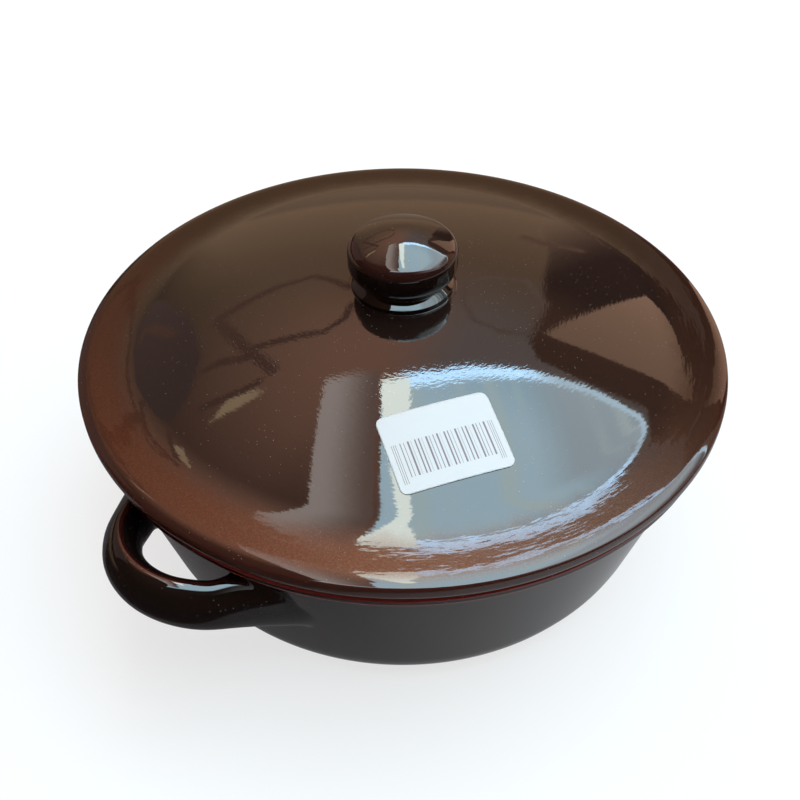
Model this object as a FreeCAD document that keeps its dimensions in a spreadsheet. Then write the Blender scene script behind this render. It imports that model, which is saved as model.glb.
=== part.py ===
# Lidded casserole pan: a glazed earthenware pan with two strap handles and a loose domed lid.
# Millimetres, +Z up. The origin is the middle of the flat base, and the handles lie along X.

import FreeCAD, Part
import math
import os

import Sketcher

Vector = FreeCAD.Vector
Rotation = FreeCAD.Rotation
Placement = FreeCAD.Placement

SIZES = [
    ("pan_height", 80.0, "base to the top of the rim"),
    ("wall_foot_radius", 99.7, "outer wall line, carried down to the base plane"),
    ("wall_top_radius", 118.5, "outer wall where it meets the rim band"),
    ("base_corner_round", 26.0, "outer curve from the wall to the base"),
    ("pan_wall", 7.0, "wall thickness, measured level"),
    ("base_thickness", 8.0, "clay left under the cooking floor"),
    ("inner_corner_round", 22.0, "inner curve from the floor to the wall"),
    ("rim_stand_off", 3.5, "how far the rim band stands out of the wall"),
    ("rim_band", 5.0, "height of the rim band"),
    ("rim_round", 2.0, "rounding of the rim's edges"),
    ("lid_seat_gap", 0.3, "rim to the underside of the lid's lip"),
    ("lid_overhang", 2.0, "lip of the lid beyond the rim band"),
    ("lip_thickness", 8.0, "lip of the lid"),
    ("lip_round", 3.8, "rounding of the lip's outer edge"),
    ("brim_width", 18.0, "nearly flat brim inside the lip"),
    ("brim_rise", 2.1, "rise of the brim towards the dome"),
    ("sweep_radius", 45.0, "hollow curve from the brim to the dome"),
    ("flank_radius", 430.0, "curve of the dome's flank, in section"),
    ("crown_radius", 210.0, "curve of the dome's crown, a part of a ball"),
    ("crown_reach", 40.0, "radius at which crown and flank meet"),
    ("lid_wall", 6.5, "thickness of the lid's dome"),
    ("flange_depth", 9.0, "locating flange, below the lip"),
    ("flange_width", 6.0, "locating flange, in section"),
    ("flange_round", 2.2, "rounding of the flange's edges"),
    ("lid_play", 2.5, "flange to the pan's inner wall, all round"),
    ("hollow_round", 6.0, "curve from the lid's hollow to its flange"),
    ("knob_radius", 20.5, "widest part of the knob's head"),
    ("knob_height", 23.7, "crown of the lid to the top of the knob"),
    ("knob_crown", 0.7, "doming of the knob's top"),
    ("knob_shoulder_round", 8.5, "curve from the knob's top to its side"),
    ("knob_underside", 6.4, "height of the corner under the head"),
    ("knob_belly_round", 9.0, "curve under the knob's head"),
    ("neck_radius", 14.2, "waist between the head and the foot"),
    ("neck_height", 2.0, "height of the waist above the crown"),
    ("neck_round", 1.1, "hollow curve of the waist"),
    ("foot_radius", 19.2, "foot ring that is luted to the lid"),
    ("foot_rise", 0.9, "top of the foot ring above the crown"),
    ("foot_round", 0.8, "rounding of the foot ring"),
    ("label_width", 40.0, "paper label, long side"),
    ("label_depth", 30.0, "paper label, short side"),
    ("label_round", 3.0, "corners of the paper label"),
    ("label_thickness", 0.2, "paper and its gum"),
    ("label_inset", 50.4, "edge of the lid to the middle of the label"),
    ("label_bearing", -129.2, "direction of the label from the axis, in degrees"),
    ("label_turn", -31.2, "direction of the label's long side, in degrees"),
    ("strap_thickness", 13.6, "strap handle, pan side to outer side"),
    ("strap_height", 20.2, "strap handle, bottom to top"),
    ("strap_turn", 5.0, "inward turn of the strap's top, in degrees"),
    ("handle_reach", 20.2, "wall to the middle of the strap, at its furthest"),
    ("loop_depth", 36.9, "half axis of the loop, away from the pan"),
    ("loop_half_span", 31.5, "half axis of the loop, along the wall"),
    ("loop_end_drop", 24.7, "top of the rim down to the loop's ends"),
    ("loop_rise", 8.9, "rise of the loop from its ends to its middle"),
    ("root_height", 44.0, "smeared root of the handle, long way"),
    ("root_width", 21.0, "smeared root of the handle, short way"),
    ("root_slant", 46.0, "slant of the root's long way from upright, in degrees"),
    ("root_angle", 20.0, "root's bearing from the handle's middle, in degrees"),
    ("root_drop", 29.0, "top of the rim down to the root's middle"),
    ("root_embed", 7.0, "depth of the root's section behind the wall's face"),
    ("neck_angle", 26.0, "place of the neck on the loop, from the loop's end, in degrees"),
]

# Points of the strap's section, how far its ridge and the root's tail are drawn in,
# and how the loft goes from loop to root
SECTION_STEPS = 6
RIDGE_PINCH = 0.2
TAIL_PINCH = 0.4
LOOP_STEPS = 6
NECK_TURN = 0.4
NECK_GROWTH = 0.2

FEATURE_FAULTS = ("Invalid", "Error")

doc = FreeCAD.newDocument("casserole_pan")
sheet = doc.addObject("Spreadsheet::Sheet", "Size")
for row, (alias, size, note) in enumerate(SIZES, start=1):
    sheet.set("A%d" % row, alias)
    sheet.set("B%d" % row, str(size))
    sheet.set("C%d" % row, note)
    sheet.setAlias("B%d" % row, alias)
doc.recompute()


def amount(expression):
    """Number that an expression on the sheet gives."""
    return float(sheet.evalExpression(expression))


def origin_plane(body, role):
    """Plane of a body's own origin, such as XZ_Plane."""
    for feature in body.Origin.OriginFeatures:
        if feature.Role == role:
            return feature
    raise RuntimeError("no plane " + role)


def new_body(name):
    body = doc.addObject("PartDesign::Body", name)
    body.Label = name
    return body


def new_sketch(body, name, role="XZ_Plane"):
    sketch = body.newObject("Sketcher::SketchObject", name)
    sketch.AttachmentSupport = [(origin_plane(body, role), "")]
    sketch.MapMode = "FlatFace"
    return sketch


def bind(sketch, constraint, expression):
    """Add a dimension that follows an expression on the sheet."""
    index = sketch.addConstraint(constraint)
    sketch.setExpression("Constraints[%d]" % index, expression)


def pin_point(sketch, geometry, end, across, up):
    """Hold a point at a distance across and up from the sketch's origin; 0 means on the axis."""
    if across == "0":
        sketch.addConstraint(Sketcher.Constraint("PointOnObject", geometry, end, -2))
    else:
        reach = Sketcher.Constraint("DistanceX", -1, 1, geometry, end, amount(across))
        bind(sketch, reach, across)
    if up == "0":
        sketch.addConstraint(Sketcher.Constraint("PointOnObject", geometry, end, -1))
    else:
        rise = Sketcher.Constraint("DistanceY", -1, 1, geometry, end, amount(up))
        bind(sketch, rise, up)


def corner_arc(before, corner, after, radius):
    """Arc that rounds a corner, with the points where it leaves the two sides."""
    back = (before - corner).normalize()
    ahead = (after - corner).normalize()
    half_turn = (math.pi - back.getAngle(ahead)) / 2
    reach = radius * math.tan(half_turn)
    start = corner + back * reach
    finish = corner + ahead * reach
    middle_way = (back + ahead).normalize()
    centre = corner + middle_way * (radius / math.cos(half_turn))
    crest = centre - middle_way * radius
    return start, crest, finish


def add_chain(sketch, corners, closed=True):
    """Straight sides through corners given as (across, up, rounding), with tangent arcs.

    Returns the geometry numbers of the sides, in order.
    """
    points = [Vector(amount(across), amount(up), 0) for across, up, _ in corners]
    count = len(corners)
    starts = list(points)
    finishes = list(points)
    arcs = {}
    for index, (_, _, rounding) in enumerate(corners):
        if not rounding:
            continue
        start, crest, finish = corner_arc(
            points[index - 1], points[index], points[(index + 1) % count], amount(rounding))
        starts[index] = finish
        finishes[index] = start
        arcs[index] = sketch.addGeometry(Part.Arc(start, crest, finish), False)
    side_count = count if closed else count - 1
    sides = []
    for index in range(side_count):
        side = Part.LineSegment(starts[index], finishes[(index + 1) % count])
        sides.append(sketch.addGeometry(side, False))
    for index, (across, up, rounding) in enumerate(corners):
        inner_corner = closed or 0 < index < count - 1
        if not inner_corner:
            side, end = (sides[0], 1) if index == 0 else (sides[-1], 2)
            pin_point(sketch, side, end, across, up)
            continue
        arriving = sides[index - 1]
        leaving = sides[index % side_count]
        if not rounding:
            sketch.addConstraint(Sketcher.Constraint("Coincident", arriving, 2, leaving, 1))
            pin_point(sketch, leaving, 1, across, up)
            continue
        arc = arcs[index]
        arc_start = sketch.getPoint(arc, 1)
        near, far = (1, 2) if arc_start.distanceToPoint(finishes[index]) < 1e-6 else (2, 1)
        sketch.addConstraint(Sketcher.Constraint("Tangent", arriving, 2, arc, near))
        sketch.addConstraint(Sketcher.Constraint("Tangent", arc, far, leaving, 1))
        bind(sketch, Sketcher.Constraint("Radius", arc, amount(rounding)), rounding)
        mark = sketch.addGeometry(Part.Point(points[index]), True)
        pin_point(sketch, mark, 1, across, up)
        sketch.addConstraint(Sketcher.Constraint("PointOnObject", mark, 1, arriving))
        sketch.addConstraint(Sketcher.Constraint("PointOnObject", mark, 1, leaving))
    return sides


def turn_about_z(body, sketch, kind, name):
    """Revolution or groove of a sketch, all the way round the axis."""
    feature = body.newObject("PartDesign::" + kind, name)
    feature.Profile = sketch
    feature.ReferenceAxis = (sketch, ["V_Axis"])
    feature.Angle = 360.0
    return feature


# Shared expressions

RIM_RADIUS = "Size.wall_top_radius + Size.rim_stand_off"
WALL_TOP = "Size.pan_height - Size.rim_band"
LIP_BOTTOM = "Size.pan_height + Size.lid_seat_gap"
LIP_TOP = LIP_BOTTOM + " + Size.lip_thickness"
LID_RADIUS = RIM_RADIUS + " + Size.lid_overhang"
FLANGE_BOTTOM = LIP_BOTTOM + " - Size.flange_depth"
LABEL_DISTANCE = "(%s - Size.label_inset)" % LID_RADIUS
LOOP_END_LEVEL = "(Size.pan_height - Size.loop_end_drop)"
ROOT_LEVEL = "(Size.pan_height - Size.root_drop)"


def wall_radius(level):
    """Outer radius of the pan's tapered wall at a height, as an expression."""
    spread = "(Size.wall_top_radius - Size.wall_foot_radius)"
    return "Size.wall_foot_radius + %s * (%s) / (%s)" % (spread, level, WALL_TOP)


FLANGE_RADIUS = "%s - Size.pan_wall - Size.lid_play" % wall_radius(FLANGE_BOTTOM)
HOLLOW_RADIUS = "%s - Size.flange_width" % FLANGE_RADIUS


def make_pan():
    """Pan body: one turned wall with a flat base and a banded rim."""
    body = new_body("pan_body")
    section = new_sketch(body, "PanSection")
    add_chain(section, [
        ("0", "0", ""),
        ("Size.wall_foot_radius", "0", "Size.base_corner_round"),
        ("Size.wall_top_radius", WALL_TOP, ""),
        (RIM_RADIUS, WALL_TOP, "Size.rim_round"),
        (RIM_RADIUS, "Size.pan_height", "Size.rim_round"),
        (wall_radius("Size.pan_height") + " - Size.pan_wall", "Size.pan_height", "Size.rim_round"),
        (wall_radius("Size.base_thickness") + " - Size.pan_wall", "Size.base_thickness",
         "Size.inner_corner_round"),
        ("0", "Size.base_thickness", ""),
    ])
    turn_about_z(body, section, "Revolution", "PanTurned")
    return body


def dome_start():
    """First shape of the dome's section: the points where its arcs meet, before any solving."""
    crown = amount("Size.crown_radius")
    flank = amount("Size.flank_radius")
    sweep = amount("Size.sweep_radius")
    reach = amount("Size.crown_reach")
    brim = Vector(amount(LID_RADIUS + " - Size.brim_width"), amount(LIP_TOP + " + Size.brim_rise"), 0)
    slope = math.atan2(amount("Size.brim_rise"), amount("Size.brim_width"))
    sweep_share = sweep * reach * (1 / crown - 1 / flank)
    shoulder_radius = (brim.x + sweep * math.sin(slope) - sweep_share) / (1 + sweep / flank)
    crown_tilt = math.asin(reach / crown)
    flank_tilt = math.asin(reach / crown + (shoulder_radius - reach) / flank)
    shoulder_height = brim.y + sweep * (math.cos(slope) - math.cos(flank_tilt))
    shoulder = Vector(shoulder_radius, shoulder_height, 0)
    junction = Vector(reach, shoulder.y + flank * (math.cos(crown_tilt) - math.cos(flank_tilt)), 0)
    crown_top = junction.y + crown * (1 - math.cos(crown_tilt))
    return {
        "brim": brim, "slope": slope, "shoulder": shoulder, "flank_tilt": flank_tilt,
        "junction": junction, "crown_tilt": crown_tilt, "crown_top": crown_top,
    }


def arc_below(centre, radius, tilt_start, tilt_finish):
    """Arc over its centre, between two tilts measured from upright."""
    middle = (tilt_start + tilt_finish) / 2
    ends = []
    for tilt in (tilt_start, middle, tilt_finish):
        ends.append(centre + Vector(math.sin(tilt), math.cos(tilt), 0) * radius)
    return Part.Arc(*ends)


def add_dome(sketch, inset):
    """Crown and flank arcs that lie inside the dome's outer face by an inset.

    Returns the geometry numbers of the two arcs. The flank's outer end stays free.
    """
    start = dome_start()
    depth = amount(inset)
    crown = amount("Size.crown_radius")
    flank = amount("Size.flank_radius")
    crown_centre = Vector(0, start["crown_top"] - crown, 0)
    normal = Vector(math.sin(start["crown_tilt"]), math.cos(start["crown_tilt"]), 0)
    flank_centre = start["junction"] - normal * flank
    crown_arc = sketch.addGeometry(
        arc_below(crown_centre, crown - depth, 0, start["crown_tilt"]), False)
    flank_arc = sketch.addGeometry(
        arc_below(flank_centre, flank - depth, start["crown_tilt"], start["flank_tilt"]), False)
    sketch.addConstraint(Sketcher.Constraint("PointOnObject", crown_arc, 3, -2))
    sketch.addConstraint(Sketcher.Constraint("PointOnObject", crown_arc, 2, -2))
    sketch.addConstraint(Sketcher.Constraint("Tangent", crown_arc, 1, flank_arc, 2))
    crown_size = Sketcher.Constraint("Radius", crown_arc, crown - depth)
    bind(sketch, crown_size, "Size.crown_radius - (%s)" % inset)
    flank_size = Sketcher.Constraint("Radius", flank_arc, flank - depth)
    bind(sketch, flank_size, "Size.flank_radius - (%s)" % inset)
    share = "(Size.crown_radius - (%s)) / Size.crown_radius" % inset
    reach = "Size.crown_reach * " + share
    bind(sketch, Sketcher.Constraint("DistanceX", -1, 1, flank_arc, 2, amount(reach)), reach)
    return crown_arc, flank_arc


def hold_crown(sketch, crown_arc, inset):
    """Set a crown arc's height from the lid's own section."""
    level = "LidSection.Constraints.crown_top - (%s) * 1 mm" % inset
    height = dome_start()["crown_top"] - amount(inset)
    bind(sketch, Sketcher.Constraint("DistanceY", -1, 1, crown_arc, 2, height), level)


def make_lid():
    """Lid: a domed cover with a flat brim and a locating flange, hollow underneath."""
    body = new_body("lid")
    section = new_sketch(body, "LidSection")
    start = dome_start()
    crown_arc, flank_arc = add_dome(section, "0")
    sides = add_chain(section, [
        (LID_RADIUS + " - Size.brim_width", LIP_TOP + " + Size.brim_rise", ""),
        (LID_RADIUS, LIP_TOP, "Size.lip_round"),
        (LID_RADIUS, LIP_BOTTOM, "Size.lip_round"),
        (FLANGE_RADIUS, LIP_BOTTOM, ""),
        (FLANGE_RADIUS, FLANGE_BOTTOM, "Size.flange_round"),
        ("0", FLANGE_BOTTOM, ""),
    ], closed=False)
    sweep = amount("Size.sweep_radius")
    brim_normal = Vector(math.sin(start["slope"]), math.cos(start["slope"]), 0)
    sweep_centre = start["brim"] + brim_normal * sweep
    tilts = (start["flank_tilt"], (start["flank_tilt"] + start["slope"]) / 2, start["slope"])
    hollow_points = []
    for tilt in tilts:
        hollow_points.append(sweep_centre - Vector(math.sin(tilt), math.cos(tilt), 0) * sweep)
    sweep_arc = section.addGeometry(Part.Arc(*hollow_points), False)
    section.addConstraint(Sketcher.Constraint("Tangent", flank_arc, 1, sweep_arc, 1))
    section.addConstraint(Sketcher.Constraint("Tangent", sweep_arc, 2, sides[0], 1))
    bind(section, Sketcher.Constraint("Radius", sweep_arc, sweep), "Size.sweep_radius")
    axis_side = Part.LineSegment(
        Vector(0, amount(FLANGE_BOTTOM), 0), Vector(0, start["crown_top"], 0))
    axis_line = section.addGeometry(axis_side, False)
    section.addConstraint(Sketcher.Constraint("Coincident", sides[-1], 2, axis_line, 1))
    section.addConstraint(Sketcher.Constraint("Coincident", axis_line, 2, crown_arc, 2))
    crown_top = section.addConstraint(
        Sketcher.Constraint("DistanceY", -1, 1, crown_arc, 2, start["crown_top"]))
    section.setDriving(crown_top, False)
    section.renameConstraint(crown_top, "crown_top")
    turn_about_z(body, section, "Revolution", "LidTurned")
    doc.recompute()
    hollow = new_sketch(body, "LidHollow")
    add_hollow(hollow)
    turn_about_z(body, hollow, "Groove", "LidHollowed")
    return body


def add_hollow(sketch):
    """Section of the space under the lid: the dome, set in by the wall, down to the flange."""
    start = dome_start()
    crown_arc, flank_arc = add_dome(sketch, "Size.lid_wall")
    hold_crown(sketch, crown_arc, "Size.lid_wall")
    radius = amount(HOLLOW_RADIUS)
    easing = amount("Size.hollow_round")
    flank = amount("Size.flank_radius - Size.lid_wall")
    flank_normal = Vector(math.sin(start["crown_tilt"]), math.cos(start["crown_tilt"]), 0)
    flank_centre = start["junction"] - flank_normal * amount("Size.flank_radius")
    easing_centre = Vector(radius - easing, 0, 0)
    reach = flank - easing
    easing_centre.y = flank_centre.y + math.sqrt(reach ** 2 - (easing_centre.x - flank_centre.x) ** 2)
    meet_way = (easing_centre - flank_centre).normalize()
    meet = flank_centre + meet_way * flank
    crest_tilt = (math.pi / 2 + math.atan2(meet_way.x, meet_way.y)) / 2
    crest = easing_centre + Vector(math.sin(crest_tilt), math.cos(crest_tilt), 0) * easing
    easing_arc = sketch.addGeometry(
        Part.Arc(meet, crest, Vector(radius, easing_centre.y, 0)), False)
    below = FLANGE_BOTTOM + " - Size.flange_round"
    sides = [
        Part.LineSegment(Vector(radius, easing_centre.y, 0), Vector(radius, amount(below), 0)),
        Part.LineSegment(Vector(radius, amount(below), 0), Vector(0, amount(below), 0)),
        Part.LineSegment(
            Vector(0, amount(below), 0), Vector(0, start["crown_top"] - amount("Size.lid_wall"), 0)),
    ]
    upright, floor, axis_line = [sketch.addGeometry(side, False) for side in sides]
    easing_end = 1 if sketch.getPoint(easing_arc, 1).x > meet.x + 1e-6 else 2
    sketch.addConstraint(Sketcher.Constraint("Tangent", flank_arc, 1, easing_arc, 3 - easing_end))
    sketch.addConstraint(Sketcher.Constraint("Tangent", easing_arc, easing_end, upright, 1))
    bind(sketch, Sketcher.Constraint("Radius", easing_arc, easing), "Size.hollow_round")
    sketch.addConstraint(Sketcher.Constraint("Vertical", upright))
    sketch.addConstraint(Sketcher.Constraint("Coincident", upright, 2, floor, 1))
    pin_point(sketch, floor, 1, HOLLOW_RADIUS, below)
    sketch.addConstraint(Sketcher.Constraint("Horizontal", floor))
    sketch.addConstraint(Sketcher.Constraint("Coincident", floor, 2, axis_line, 1))
    sketch.addConstraint(Sketcher.Constraint("PointOnObject", axis_line, 1, -2))
    sketch.addConstraint(Sketcher.Constraint("Coincident", axis_line, 2, crown_arc, 2))


def make_knob():
    """Knob: a flattened ball on a waist and a foot ring, seated on the lid's crown."""
    body = new_body("knob")
    section = new_sketch(body, "KnobSection")
    foot_drop = "sqrt(Size.crown_radius ^ 2 - Size.foot_radius ^ 2) - Size.crown_radius"
    sides = add_chain(section, [
        ("Size.foot_radius", foot_drop, ""),
        ("Size.foot_radius", "Size.foot_rise", "Size.foot_round"),
        ("Size.neck_radius", "Size.neck_height", "Size.neck_round"),
        ("Size.knob_radius", "Size.knob_underside", "Size.knob_belly_round"),
        ("Size.knob_radius", "Size.knob_height - Size.knob_crown", "Size.knob_shoulder_round"),
        ("0", "Size.knob_height", ""),
    ], closed=False)
    crown = amount("Size.crown_radius")
    seat_tilt = math.asin(amount("Size.foot_radius") / crown)
    seat = section.addGeometry(arc_below(Vector(0, -crown, 0), crown, 0, seat_tilt), False)
    axis_line = section.addGeometry(
        Part.LineSegment(Vector(0, amount("Size.knob_height"), 0), Vector(0, 0, 0)), False)
    section.addConstraint(Sketcher.Constraint("Coincident", seat, 1, sides[0], 1))
    section.addConstraint(Sketcher.Constraint("Coincident", seat, 2, axis_line, 2))
    section.addConstraint(Sketcher.Constraint("Coincident", axis_line, 1, sides[-1], 2))
    section.addConstraint(Sketcher.Constraint("PointOnObject", seat, 3, -2))
    section.addConstraint(Sketcher.Constraint("PointOnObject", seat, 2, -2))
    bind(section, Sketcher.Constraint("Radius", seat, crown), "Size.crown_radius")
    turn_about_z(body, section, "Revolution", "KnobTurned")
    body.setExpression("Placement.Base.z", "LidSection.Constraints.crown_top")
    return body


def make_label():
    """Paper label: a rounded rectangle that follows the flank of the dome."""
    skin = new_body("label_skin")
    section = new_sketch(skin, "LabelSection")
    start = dome_start()
    diagonal = "sqrt(Size.label_width ^ 2 + Size.label_depth ^ 2) / 2"
    crown_lower, flank_lower = add_dome(section, "0")
    hold_crown(section, crown_lower, "0")
    crown_upper, flank_upper = add_dome(section, "-Size.label_thickness")
    hold_crown(section, crown_upper, "-Size.label_thickness")
    ends = []
    for flank_arc in (flank_lower, flank_upper):
        point = section.getPoint(flank_arc, 1)
        reach = Sketcher.Constraint("DistanceX", -1, 1, flank_arc, 1, point.x)
        bind(section, reach, LABEL_DISTANCE + " + " + diagonal)
        ends.append(point)
    tops = [section.getPoint(arc, 2) for arc in (crown_lower, crown_upper)]
    outer_side = section.addGeometry(Part.LineSegment(ends[0], ends[1]), False)
    axis_line = section.addGeometry(Part.LineSegment(tops[0], tops[1]), False)
    section.addConstraint(Sketcher.Constraint("Coincident", outer_side, 1, flank_lower, 1))
    section.addConstraint(Sketcher.Constraint("Coincident", outer_side, 2, flank_upper, 1))
    section.addConstraint(Sketcher.Constraint("Coincident", axis_line, 1, crown_lower, 2))
    section.addConstraint(Sketcher.Constraint("Coincident", axis_line, 2, crown_upper, 2))
    turn_about_z(skin, section, "Revolution", "LabelSkin")

    sheet_body = new_body("label_outline")
    outline = new_sketch(sheet_body, "LabelOutline", "XY_Plane")
    half_width = "Size.label_width / 2"
    half_depth = "Size.label_depth / 2"
    add_chain(outline, [
        ("-" + half_width, "-" + half_depth, "Size.label_round"),
        (half_width, "-" + half_depth, "Size.label_round"),
        (half_width, half_depth, "Size.label_round"),
        ("-" + half_width, half_depth, "Size.label_round"),
    ])
    stamp = sheet_body.newObject("PartDesign::Pad", "LabelStamp")
    stamp.Profile = outline
    stamp.Midplane = True
    stamp.setExpression("Length", "Size.label_width")
    distance = amount(LABEL_DISTANCE)
    bearing = amount("Size.label_bearing")
    lean = math.degrees(math.asin(
        amount("Size.crown_reach / Size.crown_radius")
        + amount("(%s - Size.crown_reach) / Size.flank_radius" % LABEL_DISTANCE)))
    tilted = Rotation(Vector(0, 0, 1), bearing) * Rotation(Vector(0, 1, 0), lean)
    turned = Rotation(Vector(0, 0, 1), amount("Size.label_turn") - bearing)
    way = math.radians(bearing)
    rise = math.cos(math.asin(amount("Size.crown_reach / Size.crown_radius")))
    level = start["junction"].y - amount("Size.flank_radius") * (rise - math.cos(math.radians(lean)))
    sheet_body.Placement = Placement(
        Vector(distance * math.cos(way), distance * math.sin(way), level), tilted * turned)
    label = doc.addObject("Part::Common", "label")
    label.Label = "label"
    label.Base = skin
    label.Tool = sheet_body
    return label


def strap_section(centre, across, upright, half_thickness, half_height, tail_pinch):
    """Closed section of the strap: an oval, drawn in a little to a soft ridge along its top.

    It is two smooth halves, outer and inner, that meet at the ridge and at the bottom.
    """
    halves = []
    for first_angle, way in ((-math.pi / 2, across), (math.pi / 2, -across)):
        points = []
        for step in range(SECTION_STEPS + 1):
            angle = first_angle + math.pi * step / SECTION_STEPS
            rise = math.sin(angle)
            pinch = RIDGE_PINCH if rise > 0 else tail_pinch
            sideways = half_thickness * math.cos(angle) * (1 - pinch * rise ** 2)
            points.append(centre + across * sideways + upright * (half_height * rise))
        half = Part.BSplineCurve()
        half.interpolate(points, InitialTangent=way, FinalTangent=-way)
        halves.append(half.toShape())
    return Part.Wire(halves)


def loop_point(angle):
    """Point of the loop's middle line: 0 and 180 degrees at its ends, 90 at its furthest."""
    apex = amount(wall_radius(LOOP_END_LEVEL + " + Size.loop_rise") + " + Size.handle_reach")
    return Vector(
        apex - amount("Size.loop_depth") * (1 - math.sin(angle)),
        amount("Size.loop_half_span") * math.cos(angle),
        amount(LOOP_END_LEVEL) + amount("Size.loop_rise") * math.sin(angle))


def loop_ways(angle):
    """Directions across and up the strap at a point of the loop."""
    nudge = 0.01
    ahead = (loop_point(angle + nudge) - loop_point(angle - nudge)).normalize()
    level_way = Vector(0, 0, 1).cross(ahead).normalize()
    upright = ahead.cross(level_way)
    turn = math.radians(amount("Size.strap_turn"))
    across = level_way * math.cos(turn) + upright * math.sin(turn)
    return across, ahead.cross(across)


def root_place(side):
    """Middle of a root's section, behind the wall's face, and its directions across and up."""
    up = Vector(0, 0, 1)
    bearing = math.radians(amount("Size.root_angle")) * side
    taper = math.atan2(amount("Size.wall_top_radius - Size.wall_foot_radius"), amount(WALL_TOP))
    outwards = Vector(math.cos(bearing), math.sin(bearing), 0)
    normal = outwards * math.cos(taper) - up * math.sin(taper)
    centre = outwards * amount(wall_radius(ROOT_LEVEL)) + up * amount(ROOT_LEVEL)
    away = up.cross(normal).normalize() * side
    upright = normal.cross(away).normalize() * side
    slant = math.radians(amount("Size.root_slant"))
    across = away * math.cos(slant) + upright * math.sin(slant)
    long_way = upright * math.cos(slant) - away * math.sin(slant)
    return centre - normal * amount("Size.root_embed"), across, long_way


def root_and_neck(side):
    """Last two sections of the strap at a root, and the root comes first."""
    root_thickness = amount("Size.root_width") / 2
    root_height = amount("Size.root_height") / 2
    centre, root_across, root_upright = root_place(side)
    root = strap_section(
        centre, root_across, root_upright, root_thickness, root_height, TAIL_PINCH)
    neck_angle = math.radians(amount("Size.neck_angle"))
    angle = neck_angle if side > 0 else math.pi - neck_angle
    across, upright = loop_ways(angle)
    across = (across * (1 - NECK_TURN) + root_across * NECK_TURN).normalize()
    upright = (upright * (1 - NECK_TURN) + root_upright * NECK_TURN).normalize()
    half_thickness = amount("Size.strap_thickness") / 2
    half_height = amount("Size.strap_height") / 2
    thickness = half_thickness + (root_thickness - half_thickness) * NECK_GROWTH
    height = half_height + (root_height - half_height) * NECK_GROWTH
    neck = strap_section(
        loop_point(angle), across, upright, thickness, height, TAIL_PINCH * NECK_GROWTH)
    return root, neck


def make_strap():
    """One pulled strap, from root to root, for the handle on the +X side.

    The loop is half an oval that rises away from the wall. Each root is a slanted oval,
    smeared down and outwards on the wall. A neck on each side leads from loop to root.
    """
    half_thickness = amount("Size.strap_thickness") / 2
    half_height = amount("Size.strap_height") / 2
    neck_angle = math.radians(amount("Size.neck_angle"))
    sections = list(root_and_neck(1))
    for step in range(1, LOOP_STEPS):
        angle = neck_angle + (math.pi - 2 * neck_angle) * step / LOOP_STEPS
        across, upright = loop_ways(angle)
        sections.append(strap_section(
            loop_point(angle), across, upright, half_thickness, half_height, 0))
    sections += reversed(root_and_neck(-1))
    return Part.makeLoft(sections, True, False)


def make_handle(side, bearing):
    """A strap turned to its side of the pan and cut to the wall that it is luted to."""
    name = "handle_" + side
    strap = doc.addObject("Part::Feature", name + "_strap")
    strap.Shape = make_strap()
    strap.Placement = Placement(Vector(0, 0, 0), Rotation(Vector(0, 0, 1), bearing))
    wall = doc.addObject("Part::Cone", name + "_wall")
    wall.setExpression("Radius1", "Size.wall_foot_radius")
    wall.setExpression("Radius2", "Size.wall_top_radius")
    wall.setExpression("Height", WALL_TOP)
    handle = doc.addObject("Part::Cut", name)
    handle.Label = name
    handle.Base = strap
    handle.Tool = wall
    return handle


def check_document():
    """Stop if any object failed to build."""
    for item in doc.Objects:
        faults = [fault for fault in FEATURE_FAULTS if fault in item.State]
        if faults:
            raise RuntimeError("%s: %s" % (item.Name, ", ".join(item.State)))


def export(item):
    """Write one sub-part, once its shape is sound."""
    shape = item.Shape
    if shape.isNull() or not shape.isValid() or not shape.Solids:
        raise RuntimeError("%s has no sound solid" % item.Label)
    shape.exportStep(os.path.join("parts", item.Label + ".step"))
    print("%-14s solids %d  volume %9.1f mm3" % (item.Label, len(shape.Solids), shape.Volume))


sub_parts = [make_pan(), make_lid(), make_knob(), make_label()]
for side, bearing in (("left", 180.0), ("right", 0.0)):
    sub_parts.append(make_handle(side, bearing))
doc.recompute()
check_document()
os.makedirs("parts", exist_ok=True)
for sub_part in sub_parts:
    export(sub_part)
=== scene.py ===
# Lidded casserole pan: finely turned and pulled clay, its glaze, paper label and studio.
# Metres, +Z up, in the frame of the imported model.

import math

import bmesh
import bpy
from bpy.props import FloatProperty, FloatVectorProperty, IntProperty, PointerProperty
from mathutils import Matrix, Vector, noise


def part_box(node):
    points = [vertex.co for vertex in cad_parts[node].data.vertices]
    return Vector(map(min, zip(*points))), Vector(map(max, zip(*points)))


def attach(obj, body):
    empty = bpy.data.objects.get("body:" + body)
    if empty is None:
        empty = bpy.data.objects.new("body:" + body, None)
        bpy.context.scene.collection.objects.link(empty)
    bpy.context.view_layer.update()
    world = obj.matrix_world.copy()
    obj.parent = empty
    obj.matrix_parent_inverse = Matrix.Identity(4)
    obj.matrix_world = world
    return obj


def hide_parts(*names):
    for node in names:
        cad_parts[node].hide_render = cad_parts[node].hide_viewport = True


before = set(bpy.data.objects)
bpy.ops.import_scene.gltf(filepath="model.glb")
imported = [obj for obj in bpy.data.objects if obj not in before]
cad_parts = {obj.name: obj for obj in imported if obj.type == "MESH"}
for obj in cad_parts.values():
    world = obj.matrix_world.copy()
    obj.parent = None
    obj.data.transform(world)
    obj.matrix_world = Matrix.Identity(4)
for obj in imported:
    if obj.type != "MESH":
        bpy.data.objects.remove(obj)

bl_info = {
    "name": "Casserole Pan Finish",
    "version": (1, 0, 0),
    "blender": (4, 5, 0),
    "location": "3D View > Sidebar > Casserole",
    "description": "Dresses a lidded casserole pan in brown glaze, with its label and a studio",
    "category": "Add Mesh",
}

MM = 0.001

PAN_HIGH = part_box("pan_body")[1]
LID_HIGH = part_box("lid")[1]
KNOB_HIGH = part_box("knob")[1]


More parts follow.
